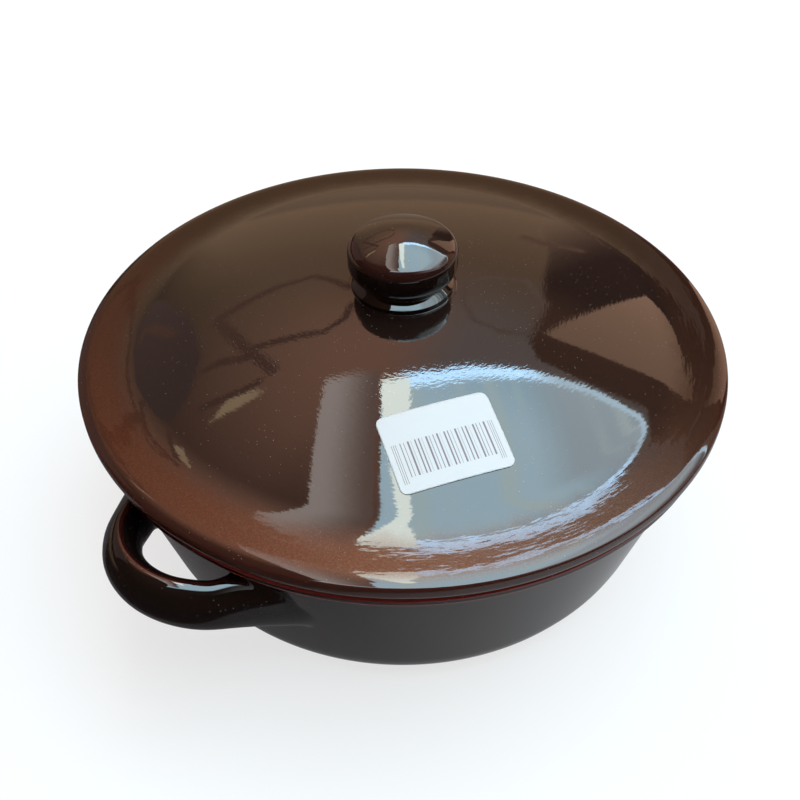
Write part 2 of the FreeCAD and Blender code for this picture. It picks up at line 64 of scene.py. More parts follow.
def titled(group):
    """Property group whose properties are named after their attributes."""
    for attribute, deferred in group.__annotations__.items():
        deferred.keywords["name"] = attribute.replace("_", " ").title()
    return group


def length(millimetres, description):
    """Property for a length, with its default in millimetres."""
    return FloatProperty(
        description=description, default=millimetres * MM, min=0.0, unit="LENGTH",
        subtype="DISTANCE", precision=5)


def angle(degrees, description):
    """Property for an angle, with its default in degrees."""
    return FloatProperty(
        description=description, default=math.radians(degrees), unit="ROTATION",
        subtype="ANGLE")


def colour(value, description):
    """Property for a colour, with linear values."""
    return FloatVectorProperty(
        description=description, default=value, size=3, subtype="COLOR", min=0.0, soft_max=1.0)


def share(value, description):
    """Property for a share between 0 and 1."""
    return FloatProperty(
        description=description, default=value, min=0.0, max=1.0, subtype="FACTOR")


@titled
class PanSizes(bpy.types.PropertyGroup):
    """Section of the pan body, beyond what the imported model gives."""

    wall_foot_radius: length(99.7, "Outer wall line, carried to the base plane")
    rim_stand_off: length(3.5, "How far the rim band stands out of the wall")
    rim_band: length(5.0, "Height of the rim band")
    rim_round: length(2.0, "Rounding of the rim's edges")
    band_hollow: length(0.9, "Glaze-filled corner under the rim band")
    base_corner: length(26.0, "Outer curve from the wall to the base")
    wall: length(7.0, "Wall thickness, measured level")
    floor: length(8.0, "Clay under the cooking floor")
    inner_corner: length(22.0, "Inner curve from the floor to the wall")


@titled
class LidSizes(bpy.types.PropertyGroup):
    """Section of the lid, beyond what the imported model gives."""

    seat_gap: length(0.3, "Rim to the underside of the lip")
    lip: length(8.0, "Thickness of the lip")
    lip_round: length(3.8, "Rounding of the lip's lower edge")
    lip_start: length(80.0, "Slight curve where the brim starts to fall")
    lip_start_tilt: angle(7.9, "Tilt at the end of that curve")
    lip_fall: length(10.0, "Curve over the lip's edge")
    lip_fall_tilt: angle(27.5, "Tilt at the end of that curve")
    lip_nose: length(1.6, "Rounding between that curve and the lip's side")
    brim_width: length(17.6, "Nearly flat brim inside the lip")
    brim_rise: length(1.63, "Rise of the brim towards the dome")
    brim_tilt: angle(8.6, "Tilt of the brim next to the dome")
    brim_hollow: length(180.0, "Slight hollow of the brim")
    brim_end_tilt: angle(5.9, "Tilt of the brim next to the lip")
    sweep: length(45.0, "Hollow curve from the brim to the dome")
    flank: length(430.0, "Curve of the dome's flank, in section")
    crown: length(210.0, "Curve of the dome's crown")
    crown_reach: length(40.0, "Radius at which crown and flank meet")
    wall: length(6.5, "Thickness of the dome")
    flange_depth: length(9.0, "Locating flange, below the lip")
    flange_width: length(6.0, "Locating flange, in section")
    flange_round: length(2.2, "Rounding of the flange's edges")
    flange_corner: length(1.0, "Glaze-filled corner between flange and lip")
    play: length(2.5, "Flange to the pan's inner wall")
    hollow_round: length(6.0, "Curve from the hollow to the flange")


@titled
class KnobSizes(bpy.types.PropertyGroup):
    """Section of the knob."""

    radius: length(20.5, "Widest part of the head")
    height: length(23.7, "Crown of the lid to the top of the knob")
    tip: length(24.0, "Curve of the middle of the top")
    tip_tilt: angle(14.0, "Tilt at the end of that curve")
    cap: length(60.0, "Curve of the outer part of the top")
    cap_tilt: angle(26.0, "Tilt where the top meets the shoulder")
    underside: length(5.4, "Height of the corner under the head")
    belly: length(6.5, "Curve under the head")
    neck_radius: length(15.6, "Waist between head and foot")
    neck_height: length(3.6, "Height of the waist above the crown")
    neck_round: length(0.7, "Hollow curve of the waist")
    foot_radius: length(19.2, "Foot ring that is luted to the lid")
    foot_rise: length(0.8, "Top of the foot ring above the crown")
    foot_round: length(0.6, "Rounding of the foot ring")


@titled
class HandleSizes(bpy.types.PropertyGroup):
    """Section, loop and roots of a pulled strap handle."""

    thickness: length(13.6, "Strap, pan side to outer side")
    height: length(20.2, "Strap, bottom to top")
    turn: angle(5.0, "Inward turn of the strap's top")
    reach: length(20.2, "Wall to the middle of the strap, at its furthest")
    loop_depth: length(36.9, "Half axis of the loop, away from the pan")
    loop_half_span: length(31.5, "Half axis of the loop, along the wall")
    loop_end_drop: length(24.7, "Top of the rim down to the loop's ends")
    loop_rise: length(8.9, "Rise of the loop from its ends to its middle")
    root_height: length(44.0, "Smeared root, long way")
    root_width: length(21.0, "Smeared root, short way")
    root_slant: angle(46.0, "Slant of the root's long way from upright")
    root_bearing: angle(21.5, "Root's bearing from the handle's middle")
    root_drop: length(29.0, "Top of the rim down to the root's middle")
    root_embed: length(7.0, "Depth of the root's section behind the wall's face")
    neck_place: angle(26.0, "Place of the neck on the loop, from the loop's end")
    ridge_pinch: share(0.2, "How far the section is drawn in towards its ridge")
    tail_pinch: share(0.4, "How far the root is drawn in towards its tail")
    neck_blend: share(0.4, "How far the neck turns from the loop to the root")
    neck_growth: share(0.2, "How far the neck grows from the loop to the root")
    fillet: length(3.2, "Clay and glaze worked into the corner at the wall")
    wave: length(0.35, "Depth of the waves left by the pulling hand")
    wave_size: length(13.0, "Width of the waves left by the pulling hand")


@titled
class LabelSizes(bpy.types.PropertyGroup):
    """Paper label on the flank of the dome."""

    width: length(40.0, "Long side")
    depth: length(30.0, "Short side")
    corner: length(3.0, "Rounding of the corners")
    paper: length(0.2, "Paper and its gum")
    inset: length(50.4, "Edge of the lid to the middle of the label")
    bearing: angle(-129.2, "Direction of the label from the axis")
    turn: angle(-31.2, "Direction of the label's long side")


@titled
class ClaySettings(bpy.types.PropertyGroup):
    """How evenly the clay was thrown and pulled."""

    wobble: length(0.22, "Depth of the slow waves left by the hand")
    wobble_size: length(60.0, "Width of the slow waves")
    ripple: length(0.012, "Depth of the fine ripple in the fired glaze")
    ripple_size: length(9.0, "Width of the fine ripple")
    segments: IntProperty(description="Steps round the axis", default=384, min=24)


@titled
class GlazeSettings(bpy.types.PropertyGroup):
    """Colours of the glaze and of the clay under it."""

    # dark is also the painted shade below the knob's head
    dark: colour((0.0055, 0.0028, 0.0022), "Glaze where it lies thickest")
    deep: colour((0.0120, 0.0060, 0.0045), "Glaze on the dome")
    warm: colour((0.0170, 0.0066, 0.0038), "Glaze on the brim")
    lip: colour((0.0300, 0.0090, 0.0055), "Glaze on the lip")
    edge: colour((0.1200, 0.0110, 0.0080), "Glaze that breaks over an edge")
    # Brim crystals: lit and shaded copies of one colour, a painted sheen that is lighter on the
    # brim's near left side
    crystal: colour((0.110, 0.043, 0.0225), "Dull crystals in the glaze of the brim")
    crystal_shaded_side: colour((0.026, 0.0105, 0.0065), "The same where they lie thinly")
    speck: colour((0.45, 0.36, 0.28), "Pale pinpoint specks")
    clay: colour((0.42, 0.17, 0.085), "Bare fired clay of the base")
    clay_dark: colour((0.27, 0.10, 0.05), "Grains and scuffs of the bare clay")
    paper: colour((0.64, 0.62, 0.615), "Label")
    paper_shade: colour((0.60, 0.585, 0.585), "Fibres of the label")
    ink: colour((0.10, 0.035, 0.055), "Print of the label")


class CasseroleSettings(bpy.types.PropertyGroup):
    """All sizes and colours."""

    pan: PointerProperty(type=PanSizes)
    lid: PointerProperty(type=LidSizes)
    knob: PointerProperty(type=KnobSizes)
    handle: PointerProperty(type=HandleSizes)
    label: PointerProperty(type=LabelSizes)
    clay: PointerProperty(type=ClaySettings)
    glaze: PointerProperty(type=GlazeSettings)


def casserole():
    """All sizes and colours, as they are set in the scene."""
    return bpy.context.scene.casserole


class Signal:
    """A node's output that works in Python arithmetic: each operator adds its Math node."""

    def __init__(self, graph, socket):
        self.graph = graph
        self.socket = socket

    def other(self, name):
        """Another output of the same node."""
        return Signal(self.graph, self.socket.node.outputs[name])

    def __add__(self, value):
        return self.graph.maths("ADD", self, value)

    def __radd__(self, value):
        return self.graph.maths("ADD", value, self)

    def __sub__(self, value):
        return self.graph.maths("SUBTRACT", self, value)

    def __rsub__(self, value):
        return self.graph.maths("SUBTRACT", value, self)

    def __mul__(self, value):
        return self.graph.maths("MULTIPLY", self, value)

    def __rmul__(self, value):
        return self.graph.maths("MULTIPLY", value, self)

    def __truediv__(self, value):
        return self.graph.maths("DIVIDE", self, value)

    def __rtruediv__(self, value):
        return self.graph.maths("DIVIDE", value, self)


# Places of the sockets in a Mix node that mixes colours
MIX_FACTOR = 0
MIX_FIRST = 6
MIX_SECOND = 7
MIX_RESULT = 2


class Graph:
    """A node tree that is written as expressions."""

    def __init__(self, tree):
        self.tree = tree

    def add(self, kind, settings=None, inputs=None, output=0):
        """One output of a new node, from its settings and its sockets' values or links."""
        node = self.tree.nodes.new(kind)
        for name, value in (settings or {}).items():
            setattr(node, name, value)
        for name, value in (inputs or {}).items():
            self.feed(node.inputs[name], value)
        return Signal(self, node.outputs[output]) if len(node.outputs) else node

    def feed(self, socket, value):
        """Link or set one socket."""
        if isinstance(value, Signal):
            self.tree.links.new(value.socket, socket)
        else:
            socket.default_value = value

    def maths(self, operation, *values):
        """Math node of one or more values."""
        return self.add("ShaderNodeMath", {"operation": operation}, dict(enumerate(values)))

    def reach(self, across, along):
        """Length of a level way."""
        return self.maths("SQRT", across * across + along * along)

    def ramp(self, value, low, high, first=0.0, last=1.0):
        """Smooth step of a value from low to high."""
        return self.add("ShaderNodeMapRange", {"interpolation_type": "SMOOTHSTEP"}, {
            "Value": value, "From Min": low, "From Max": high, "To Min": first, "To Max": last})

    def blend(self, first, second, factor):
        """Mix of two colours."""
        return self.add("ShaderNodeMix", {"data_type": "RGBA"}, {
            MIX_FACTOR: factor, MIX_FIRST: opaque(first), MIX_SECOND: opaque(second)}, MIX_RESULT)

    def split(self, vector):
        """The X, Y and Z of a vector."""
        first = self.add("ShaderNodeSeparateXYZ", None, {0: vector})
        return first, first.other("Y"), first.other("Z")

    def join(self, across, along, up):
        """Vector of an X, a Y and a Z."""
        return self.add("ShaderNodeCombineXYZ", None, {0: across, 1: along, 2: up})

    def noise(self, vector, size, seed, detail=2.0, roughness=0.5):
        """Noise with features of a size in the vector's unit; the seed moves it elsewhere."""
        return self.add("ShaderNodeTexNoise", {"noise_dimensions": "4D"}, {
            "Vector": vector, "W": seed, "Scale": 1.0 / size, "Detail": detail,
            "Roughness": roughness})

    def cells(self, vector, size):
        """Distance from the middle of the nearest cell, as a share of the cells' size."""
        return self.add("ShaderNodeTexVoronoi", None, {"Vector": vector, "Scale": 1.0 / size})

    def bump(self, height):
        """Normal over a relief with its height in metres."""
        return self.add("ShaderNodeBump", None, {
            "Strength": 1.0, "Distance": 1.0, "Height": height})

    def emission(self, colour):
        """Shader that gives out a colour."""
        return self.add("ShaderNodeEmission", None, {"Color": opaque(colour), "Strength": 1.0})

    def mix(self, factor, first, second):
        """Mix of two shaders."""
        return self.add("ShaderNodeMixShader", None, {0: factor, 1: first, 2: second})

    def surface(self, shader):
        """Let the material show a shader."""
        self.add("ShaderNodeOutputMaterial", None, {"Surface": shader})


def opaque(value):
    """A colour's three numbers with an alpha of 1; a link stays as it is."""
    return value if isinstance(value, Signal) else (*value, 1.0)


# Profiles: points across and up, with the air on the left of their way


def straight(start, end, pitch):
    """Even points from a start up to, but without, an end."""
    count = max(1, math.ceil((end - start).length / pitch))
    return [start.lerp(end, step / count) for step in range(count)]


def tilted(tilt):
    """Direction across and up, at a tilt from upright."""
    return Vector((math.sin(tilt), math.cos(tilt)))


def bow(centre, radius, first, last, pitch):
    """Points of an arc between two tilts, both ends included."""
    count = max(3, math.ceil(abs(radius * (last - first)) / pitch))
    return [centre + tilted(first + (last - first) * step / count) * radius
            for step in range(count + 1)]


def onward(points, radius, first, last, pitch):
    """Points that carry a line on round an arc between two tilts; hollow below radius 0."""
    centre = points[-1] - tilted(first) * radius
    return bow(centre, radius, first, last, pitch)[1:]


ROUND_STEPS = 8


def rounded(before, corner, after, radius):
    """Points of the arc that rounds a corner."""
    back = (before - corner).normalized()
    ahead = (after - corner).normalized()
    half_turn = (math.pi - back.angle(ahead)) / 2
    reach = radius * math.tan(half_turn)
    start = corner + back * reach
    end = corner + ahead * reach
    centre = corner + (back + ahead).normalized() * (radius / math.cos(half_turn))
    points = []
    for step in range(ROUND_STEPS + 1):
        chord = start.lerp(end, step / ROUND_STEPS) - centre
        points.append(centre + chord.normalized() * radius)
    return points


def chain(corners, pitch):
    """Straight stretches through corners given as (across, up, rounding)."""
    places = [Vector(corner[:2]) for corner in corners]
    points = []
    for index, (_, _, radius) in enumerate(corners):
        if radius:
            knot = rounded(places[index - 1], places[index], places[index + 1], radius)
        else:
            knot = [places[index]]
        if points:
            points += straight(points[-1], knot[0], pitch)[1:]
        points += knot
    return points


def thinning(points, bend):
    """How thin the glaze runs at each point: 0 up to a soft bend, 1 from a hard one."""
    soft, hard = bend
    bends = [0.0]
    for before, here, after in zip(points, points[1:], points[2:]):
        first = here - before
        second = after - here
        turn = -math.atan2(first.x * second.y - first.y * second.x, first.dot(second))
        bends.append(turn / ((first.length + second.length) / 2))
    bends.append(0.0)
    return [min(1.0, max(0.0, (amount - soft) / (hard - soft))) for amount in bends]


# Soft and hard bends of thrown and of turned clay, in radians to the metre
SOFT_THROW = (200.0, 480.0)
SOFT_TURNING = (60.0, 200.0)


def profile_object(name, points, bend):
    """Profile as an object of loose points, with the glaze's thinning on each."""
    mesh = bpy.data.meshes.new(name)
    mesh.from_pydata([(point.x, 0.0, point.y) for point in points], [], [])
    thin = mesh.attributes.new("thin", "FLOAT", "POINT")
    thin.data.foreach_set("value", thinning(points, bend))
    return new_object(name, mesh)


# Turned pieces

STEADY_HEIGHT = 10 * MM
MERGE_REACH = 0.001 * MM
RIPPLE_SEED = 5.0
TURNING_INPUTS = (
    ("Profile", "Geometry"), ("Segments", "Int"), ("Wobble", "Float"), ("Wobble Size", "Float"),
    ("Ripple", "Float"), ("Ripple Size", "Float"), ("Seed", "Float"), ("Glaze", "Material"))


def from_profile(graph, profile, value, row, kind):
    """Value of the profile's point in a row, read for each point of the turned grid."""
    return graph.add(
        "GeometryNodeSampleIndex", {"data_type": kind, "domain": "POINT"},
        {"Geometry": profile, "Value": value, "Index": row})


def turned_grid(graph, profile, place):
    """Grid whose columns are the profile, carried once round the axis."""
    segments = profile.other("Segments")
    points = graph.add("GeometryNodeAttributeDomainSize", {"component": "MESH"}, {0: profile})
    grid = graph.add("GeometryNodeMeshGrid", None, {
        "Size X": 1.0, "Size Y": 1.0, "Vertices X": segments + 1.0, "Vertices Y": points})
    index = graph.add("GeometryNodeInputIndex")
    row = graph.maths("MODULO", index, points)
    turn = graph.maths("FLOOR", (index + 0.5) / points) / segments * math.tau
    across, _, up = graph.split(from_profile(graph, profile, place, row, "FLOAT_VECTOR"))
    turned = graph.join(
        across * graph.maths("COSINE", turn), across * graph.maths("SINE", turn), up)
    shell = graph.add("GeometryNodeSetPosition", None, {"Geometry": grid, "Position": turned})
    thin = graph.add("GeometryNodeInputNamedAttribute", {"data_type": "FLOAT"}, {"Name": "thin"})
    return graph.add(
        "GeometryNodeStoreNamedAttribute", {"data_type": "FLOAT", "domain": "POINT"},
        {"Geometry": shell, "Name": "thin",
         "Value": from_profile(graph, profile, thin, row, "FLOAT")})


def turning_tree():
    """Geometry Nodes that turn a profile round the axis, with a slow hand-made wobble."""
    tree = bpy.data.node_groups.new("Turned clay", "GeometryNodeTree")
    face = tree.interface
    for name, kind in TURNING_INPUTS:
        face.new_socket(name, in_out="INPUT", socket_type="NodeSocket" + kind)
    face.new_socket("Clay", in_out="OUTPUT", socket_type="NodeSocketGeometry")
    graph = Graph(tree)
    profile = graph.add("NodeGroupInput")
    place = graph.add("GeometryNodeInputPosition")
    shell = turned_grid(graph, profile, place)
    shell = graph.add(
        "GeometryNodeMergeByDistance", None, {"Geometry": shell, "Distance": MERGE_REACH})
    shell = graph.add("GeometryNodeFlipFaces", None, {"Mesh": shell})
    seed = profile.other("Seed")
    slow = graph.noise(place, profile.other("Wobble Size"), seed, detail=1.0, roughness=0.4)
    fine = graph.noise(place, profile.other("Ripple Size"), seed + RIPPLE_SEED)
    steady = graph.ramp(graph.split(place)[2], 0.0, STEADY_HEIGHT)
    depth = (slow * profile.other("Wobble") + fine * profile.other("Ripple")) * steady
    normal = graph.add("GeometryNodeInputNormal")
    inwards = graph.add(
        "ShaderNodeVectorMath", {"operation": "SCALE"}, {0: normal, "Scale": depth * -1.0})
    shell = graph.add("GeometryNodeSetPosition", None, {"Geometry": shell, "Offset": inwards})
    shell = graph.add("GeometryNodeSetShadeSmooth", None, {"Geometry": shell})
    shell = graph.add("GeometryNodeRealizeInstances", None, {"Geometry": shell})
    shell = graph.add("GeometryNodeSetMaterial", None, {
        "Geometry": shell, "Material": profile.other("Glaze")})
    graph.add("NodeGroupOutput", None, {0: shell})
    return tree


def turned_piece(name, points, bend, glaze, seed):
    """Plain mesh object of a profile turned round the axis."""
    clay = casserole().clay
    tree = bpy.data.node_groups.get("Turned clay") or turning_tree()
    source = profile_object(name + "_profile", points, bend)
    modifier = source.modifiers.new("Turning", "NODES")
    modifier.node_group = tree
    values = {
        "Segments": clay.segments, "Wobble": clay.wobble, "Wobble Size": clay.wobble_size,
        "Ripple": clay.ripple, "Ripple Size": clay.ripple_size, "Seed": seed, "Glaze": glaze,
    }
    for item in tree.interface.items_tree:
        if item.in_out == "INPUT" and item.name in values:
            modifier[item.identifier] = values[item.name]
    depsgraph = bpy.context.evaluated_depsgraph_get()
    mesh = bpy.data.meshes.new_from_object(source.evaluated_get(depsgraph))
    bpy.data.objects.remove(source)
    return new_object(name, mesh)


def new_object(name, mesh):
    """Object of a mesh, in the scene."""
    mesh.name = name
    item = bpy.data.objects.new(name, mesh)
    bpy.context.scene.collection.objects.link(item)
    return item


OUTER_PITCH = 1.5 * MM
INNER_PITCH = 3.0 * MM


def wall_radius(level):
    """Outer radius of the pan's tapered wall at a height."""
    pan = casserole().pan
    top_level = PAN_HIGH.z - pan.rim_band
    top_radius = PAN_HIGH.x - pan.rim_stand_off
    return pan.wall_foot_radius + (top_radius - pan.wall_foot_radius) * level / top_level


def pan_profile():
    """Pan body, from the middle of the cooking floor over the rim to the middle of the base."""
    pan = casserole().pan
    rim = PAN_HIGH.x
    top = PAN_HIGH.z
    band = top - pan.rim_band
    return chain([
        (0.0, pan.floor, 0.0),
        (wall_radius(pan.floor) - pan.wall, pan.floor, pan.inner_corner),
        (wall_radius(top) - pan.wall, top, pan.rim_round),
        (rim, top, pan.rim_round),
        (rim, band, pan.rim_round),
        (wall_radius(band), band, pan.band_hollow),
        (pan.wall_foot_radius, 0.0, pan.base_corner),
        (0.0, 0.0, 0.0),
    ], OUTER_PITCH)


class Dome:
    """Measures of the dome's arcs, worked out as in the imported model."""

    def __init__(self):
        lid = casserole().lid
        brim = Vector((
            LID_HIGH.x - lid.brim_width, PAN_HIGH.z + lid.seat_gap + lid.lip + lid.brim_rise))
        sweep_share = lid.sweep * lid.crown_reach * (1 / lid.crown - 1 / lid.flank)
        shoulder = (brim.x + lid.sweep * math.sin(lid.brim_tilt) - sweep_share) / (
            1 + lid.sweep / lid.flank)
        self.crown_tilt = math.asin(lid.crown_reach / lid.crown)
        self.flank_tilt = math.asin(
            lid.crown_reach / lid.crown + (shoulder - lid.crown_reach) / lid.flank)
        shoulder_level = brim.y + lid.sweep * (
            math.cos(lid.brim_tilt) - math.cos(self.flank_tilt))
        junction = Vector((lid.crown_reach, shoulder_level + lid.flank * (
            math.cos(self.crown_tilt) - math.cos(self.flank_tilt))))
        self.crown_centre = Vector((0.0, junction.y - lid.crown * math.cos(self.crown_tilt)))
        self.flank_centre = junction - tilted(self.crown_tilt) * lid.flank
        self.top = self.crown_centre.y + lid.crown

    def flank_tilt_at(self, radius):
        """Tilt of the flank at a distance from the axis."""
        lid = casserole().lid
        return math.asin((radius - self.flank_centre.x) / lid.flank)

    def level(self, radius):
        """Height of the dome's outer face at a distance from the axis, crown or flank."""
        lid = casserole().lid
        if radius <= lid.crown_reach:
            return self.crown_centre.y + math.sqrt(lid.crown ** 2 - radius ** 2)
        return self.flank_centre.y + lid.flank * math.cos(self.flank_tilt_at(radius))


def lid_outside(dome):
    """Lid's face, from the crown over the flank and the brim to the nose of the lip."""
    lid = casserole().lid
    fine = OUTER_PITCH / 2
    points = bow(dome.crown_centre, lid.crown, 0.0, dome.crown_tilt, OUTER_PITCH)
    points += onward(points, lid.flank, dome.crown_tilt, dome.flank_tilt, OUTER_PITCH)
    points += onward(points, -lid.sweep, dome.flank_tilt, lid.brim_tilt, fine)
    points += onward(points, -lid.brim_hollow, lid.brim_tilt, lid.brim_end_tilt, fine)
    arcs = (
        (lid.lip_start, lid.brim_end_tilt, lid.lip_start_tilt, fine),
        (lid.lip_fall, lid.lip_start_tilt, lid.lip_fall_tilt, fine / 2),
        (lid.lip_nose, lid.lip_fall_tilt, math.pi / 2, fine / 2))
    width = sum(radius * (math.sin(last) - math.sin(first)) for radius, first, last, _ in arcs)
    level = LID_HIGH.x - width - points[-1].x
    lip = points[-1] + Vector((level, -level * math.tan(lid.brim_end_tilt)))
    points += straight(points[-1], lip, fine)[1:] + [lip]
    for radius, first, last, pitch in arcs:
        points += onward(points, radius, first, last, pitch)
    return points


def lid_profile():
    """Lid, from the crown over the lip, round the flange and back under the crown."""
    lid = casserole().lid
    dome = Dome()
    lip_bottom = PAN_HIGH.z + lid.seat_gap
    flange_bottom = lip_bottom - lid.flange_depth
    flange = wall_radius(flange_bottom) - casserole().pan.wall - lid.play
    hollow = flange - lid.flange_width
    inner_flank = lid.flank - lid.wall
    easing = Vector((hollow - lid.hollow_round, 0.0))
    easing.y = dome.flank_centre.y + math.sqrt(
        (inner_flank - lid.hollow_round) ** 2 - (easing.x - dome.flank_centre.x) ** 2)
    meet = easing - dome.flank_centre
    meet_tilt = math.atan2(meet.x, meet.y)
    outer = lid_outside(dome)
    edge = chain([
        (LID_HIGH.x, outer[-1].y, 0.0),
        (LID_HIGH.x, lip_bottom, lid.lip_round),
        (flange, lip_bottom, lid.flange_corner),
        (flange, flange_bottom, lid.flange_round),
        (hollow, flange_bottom, lid.flange_round),
        (hollow, easing.y, 0.0),
    ], OUTER_PITCH)
    under = bow(easing, lid.hollow_round, math.pi / 2, meet_tilt, OUTER_PITCH)
    under += bow(dome.flank_centre, inner_flank, meet_tilt, dome.crown_tilt, INNER_PITCH)[1:]
    under += bow(dome.crown_centre, lid.crown - lid.wall, dome.crown_tilt, 0.0, INNER_PITCH)[1:]
    return outer + edge[1:] + under[1:]


def knob_profile():
    """Knob, from the middle of its top to the middle of its seat inside the lid's crown."""
    knob = casserole().knob
    dome = Dome()
    crown = dome.top
    foot_level = dome.level(knob.foot_radius)
    skirt = knob.foot_radius + 2 * knob.foot_round
    sink = knob.foot_round
    fine = OUTER_PITCH / 2
    tip_centre = Vector((0.0, crown + knob.height - knob.tip))
    head = bow(tip_centre, knob.tip, 0.0, knob.tip_tilt, fine)
    head += onward(head, knob.cap, knob.tip_tilt, knob.cap_tilt, fine)
    shoulder = (knob.radius - head[-1].x) / (1 - math.sin(knob.cap_tilt))
    head += onward(head, shoulder, knob.cap_tilt, math.pi / 2, fine)
    return head[:-1] + chain([
        (knob.radius, head[-1].y, 0.0),
        (knob.radius, crown + knob.underside, knob.belly),
        (knob.neck_radius, crown + knob.neck_height, knob.neck_round),
        (knob.foot_radius, crown + knob.foot_rise, knob.foot_round),
        (knob.foot_radius, foot_level, knob.foot_round / 2),
        (skirt, dome.level(skirt) - sink / 8, 0.0),
        (knob.foot_radius, foot_level - sink, 0.0),
        (0.0, crown - sink, 0.0),
    ], fine)


# Pulled strap handles

STRAP_SIDES = 64
SECTION_FILL = 12
STRAP_STEPS = 150
FILLET_STEPS = 10
LOOP_SECTIONS = 6
HIDDEN_DEPTH = 2 * MM
RIDGE_SHOULDER = 0.95
CONTACT_SINK = 0.12 * MM
LEAST_SINK = 0.001 * MM
HIDDEN_SHARE = 0.2


def strap_section(centre, across, upright, half_thickness, half_height, tail_pinch):
    """Ring of points: an oval, drawn in towards the ridge along its top."""
    handle = casserole().handle
    ring = []
    for step in range(STRAP_SIDES):
        turn = math.tau * step / STRAP_SIDES
        rise = math.sin(turn)
        pinch = handle.ridge_pinch if rise > 0 else tail_pinch
        sideways = half_thickness * math.cos(turn) * (1 - pinch * rise ** 2)
        ring.append(centre + across * sideways + upright * (half_height * rise))
    return ring


def loop_point(turn):
    """Point of the loop's middle line: 0 and half a turn at its ends."""
    handle = casserole().handle
    end_level = PAN_HIGH.z - handle.loop_end_drop
    apex = wall_radius(end_level + handle.loop_rise) + handle.reach
    return Vector((
        apex - handle.loop_depth * (1 - math.sin(turn)),
        handle.loop_half_span * math.cos(turn),
        end_level + handle.loop_rise * math.sin(turn)))


def loop_ways(turn):
    """Directions across and up the strap at a point of the loop."""
    nudge = 0.01
    ahead = (loop_point(turn + nudge) - loop_point(turn - nudge)).normalized()
    level_way = Vector((0, 0, 1)).cross(ahead).normalized()
    upright = ahead.cross(level_way)
    lean = casserole().handle.turn
    across = level_way * math.cos(lean) + upright * math.sin(lean)
    return across, ahead.cross(across)


def wall_normal(bearing):
    """Direction out of the pan's tapered wall."""
    pan = casserole().pan
    taper = math.atan2(
        PAN_HIGH.x - pan.rim_stand_off - pan.wall_foot_radius, PAN_HIGH.z - pan.rim_band)
    outwards = Vector((math.cos(bearing), math.sin(bearing), 0.0))
    return outwards * math.cos(taper) - Vector((0, 0, math.sin(taper)))


def wall_spot(bearing, level):
    """Point on the pan's outer wall."""
    radius = wall_radius(level)
    return Vector((radius * math.cos(bearing), radius * math.sin(bearing), level))


def end_sections(side):
    """The root's section, behind the wall, and the neck's, on one side of the handle."""
    handle = casserole().handle
    bearing = handle.root_bearing * side
    normal = wall_normal(bearing)
    middle = wall_spot(bearing, PAN_HIGH.z - handle.root_drop)
    away = Vector((0, 0, 1)).cross(normal).normalized() * side
    upright = normal.cross(away).normalized() * side
    slant = handle.root_slant
    across = away * math.cos(slant) + upright * math.sin(slant)
    long_way = upright * math.cos(slant) - away * math.sin(slant)
    root = strap_section(
        middle - normal * handle.root_embed, across, long_way,
        handle.root_width / 2, handle.root_height / 2, handle.tail_pinch)
    turn = handle.neck_place if side > 0 else math.pi - handle.neck_place
    neck_across, neck_upright = loop_ways(turn)
    neck_across = neck_across.lerp(across, handle.neck_blend).normalized()
    neck_upright = neck_upright.lerp(long_way, handle.neck_blend).normalized()
    growth = handle.neck_growth
    thickness = handle.thickness / 2 * (1 - growth) + handle.root_width / 2 * growth
    height = handle.height / 2 * (1 - growth) + handle.root_height / 2 * growth
    neck = strap_section(
        loop_point(turn), neck_across, neck_upright, thickness, height,
        handle.tail_pinch * growth)
    return root, neck


def strap_lines():
    """Fine lines along the strap, one for each point of its section, from root to root."""
    handle = casserole().handle
    sections = [*end_sections(1)]
    for step in range(1, LOOP_SECTIONS):
        turn = handle.neck_place + (math.pi - 2 * handle.neck_place) * step / LOOP_SECTIONS
        across, upright = loop_ways(turn)
        sections.append(strap_section(
            loop_point(turn), across, upright, handle.thickness / 2, handle.height / 2, 0.0))
    sections += reversed(end_sections(-1))
    return [smooth_line(knots) for knots in zip(*sections)]


def smooth_line(knots):
    """Smooth curve through knots, finely divided."""
    spans = [(b - a).length ** 0.5 for a, b in zip(knots, knots[1:])]
    slopes = []
    for index, knot in enumerate(knots):
        if index == 0:
            slopes.append((knots[1] - knot) / spans[0])
        elif index == len(knots) - 1:
            slopes.append((knot - knots[-2]) / spans[-1])
        else:
            before = (knot - knots[index - 1]) / spans[index - 1]
            after = (knots[index + 1] - knot) / spans[index]
            weight = spans[index - 1] / (spans[index - 1] + spans[index])
            slopes.append(before * (1 - weight) + after * weight)
    line = []
    for index, span in enumerate(spans):
        start, end = knots[index], knots[index + 1]
        first, last = slopes[index] * span, slopes[index + 1] * span
        for step in range(SECTION_FILL):
            place = step / SECTION_FILL
            square, cube = place ** 2, place ** 3
            line.append(
                start * (2 * cube - 3 * square + 1) + first * (cube - 2 * square + place)
                + end * (3 * square - 2 * cube) + last * (cube - square))
    return line + [knots[-1]]


def wall_distance(point):
    """How far a point is out of the pan's wall, measured level."""
    return math.hypot(point.x, point.y) - wall_radius(point.z)


def cut_line(line, distance):
    """Part of a line from where it is a distance out of the wall, with that first point."""
    for index, (near, far) in enumerate(zip(line, line[1:])):
        first, last = wall_distance(near), wall_distance(far)
        if first < distance <= last:
            start = near.lerp(far, (distance - first) / (last - first))
            return [start] + line[index + 1:]
    raise RuntimeError("a line of the strap never leaves the wall")


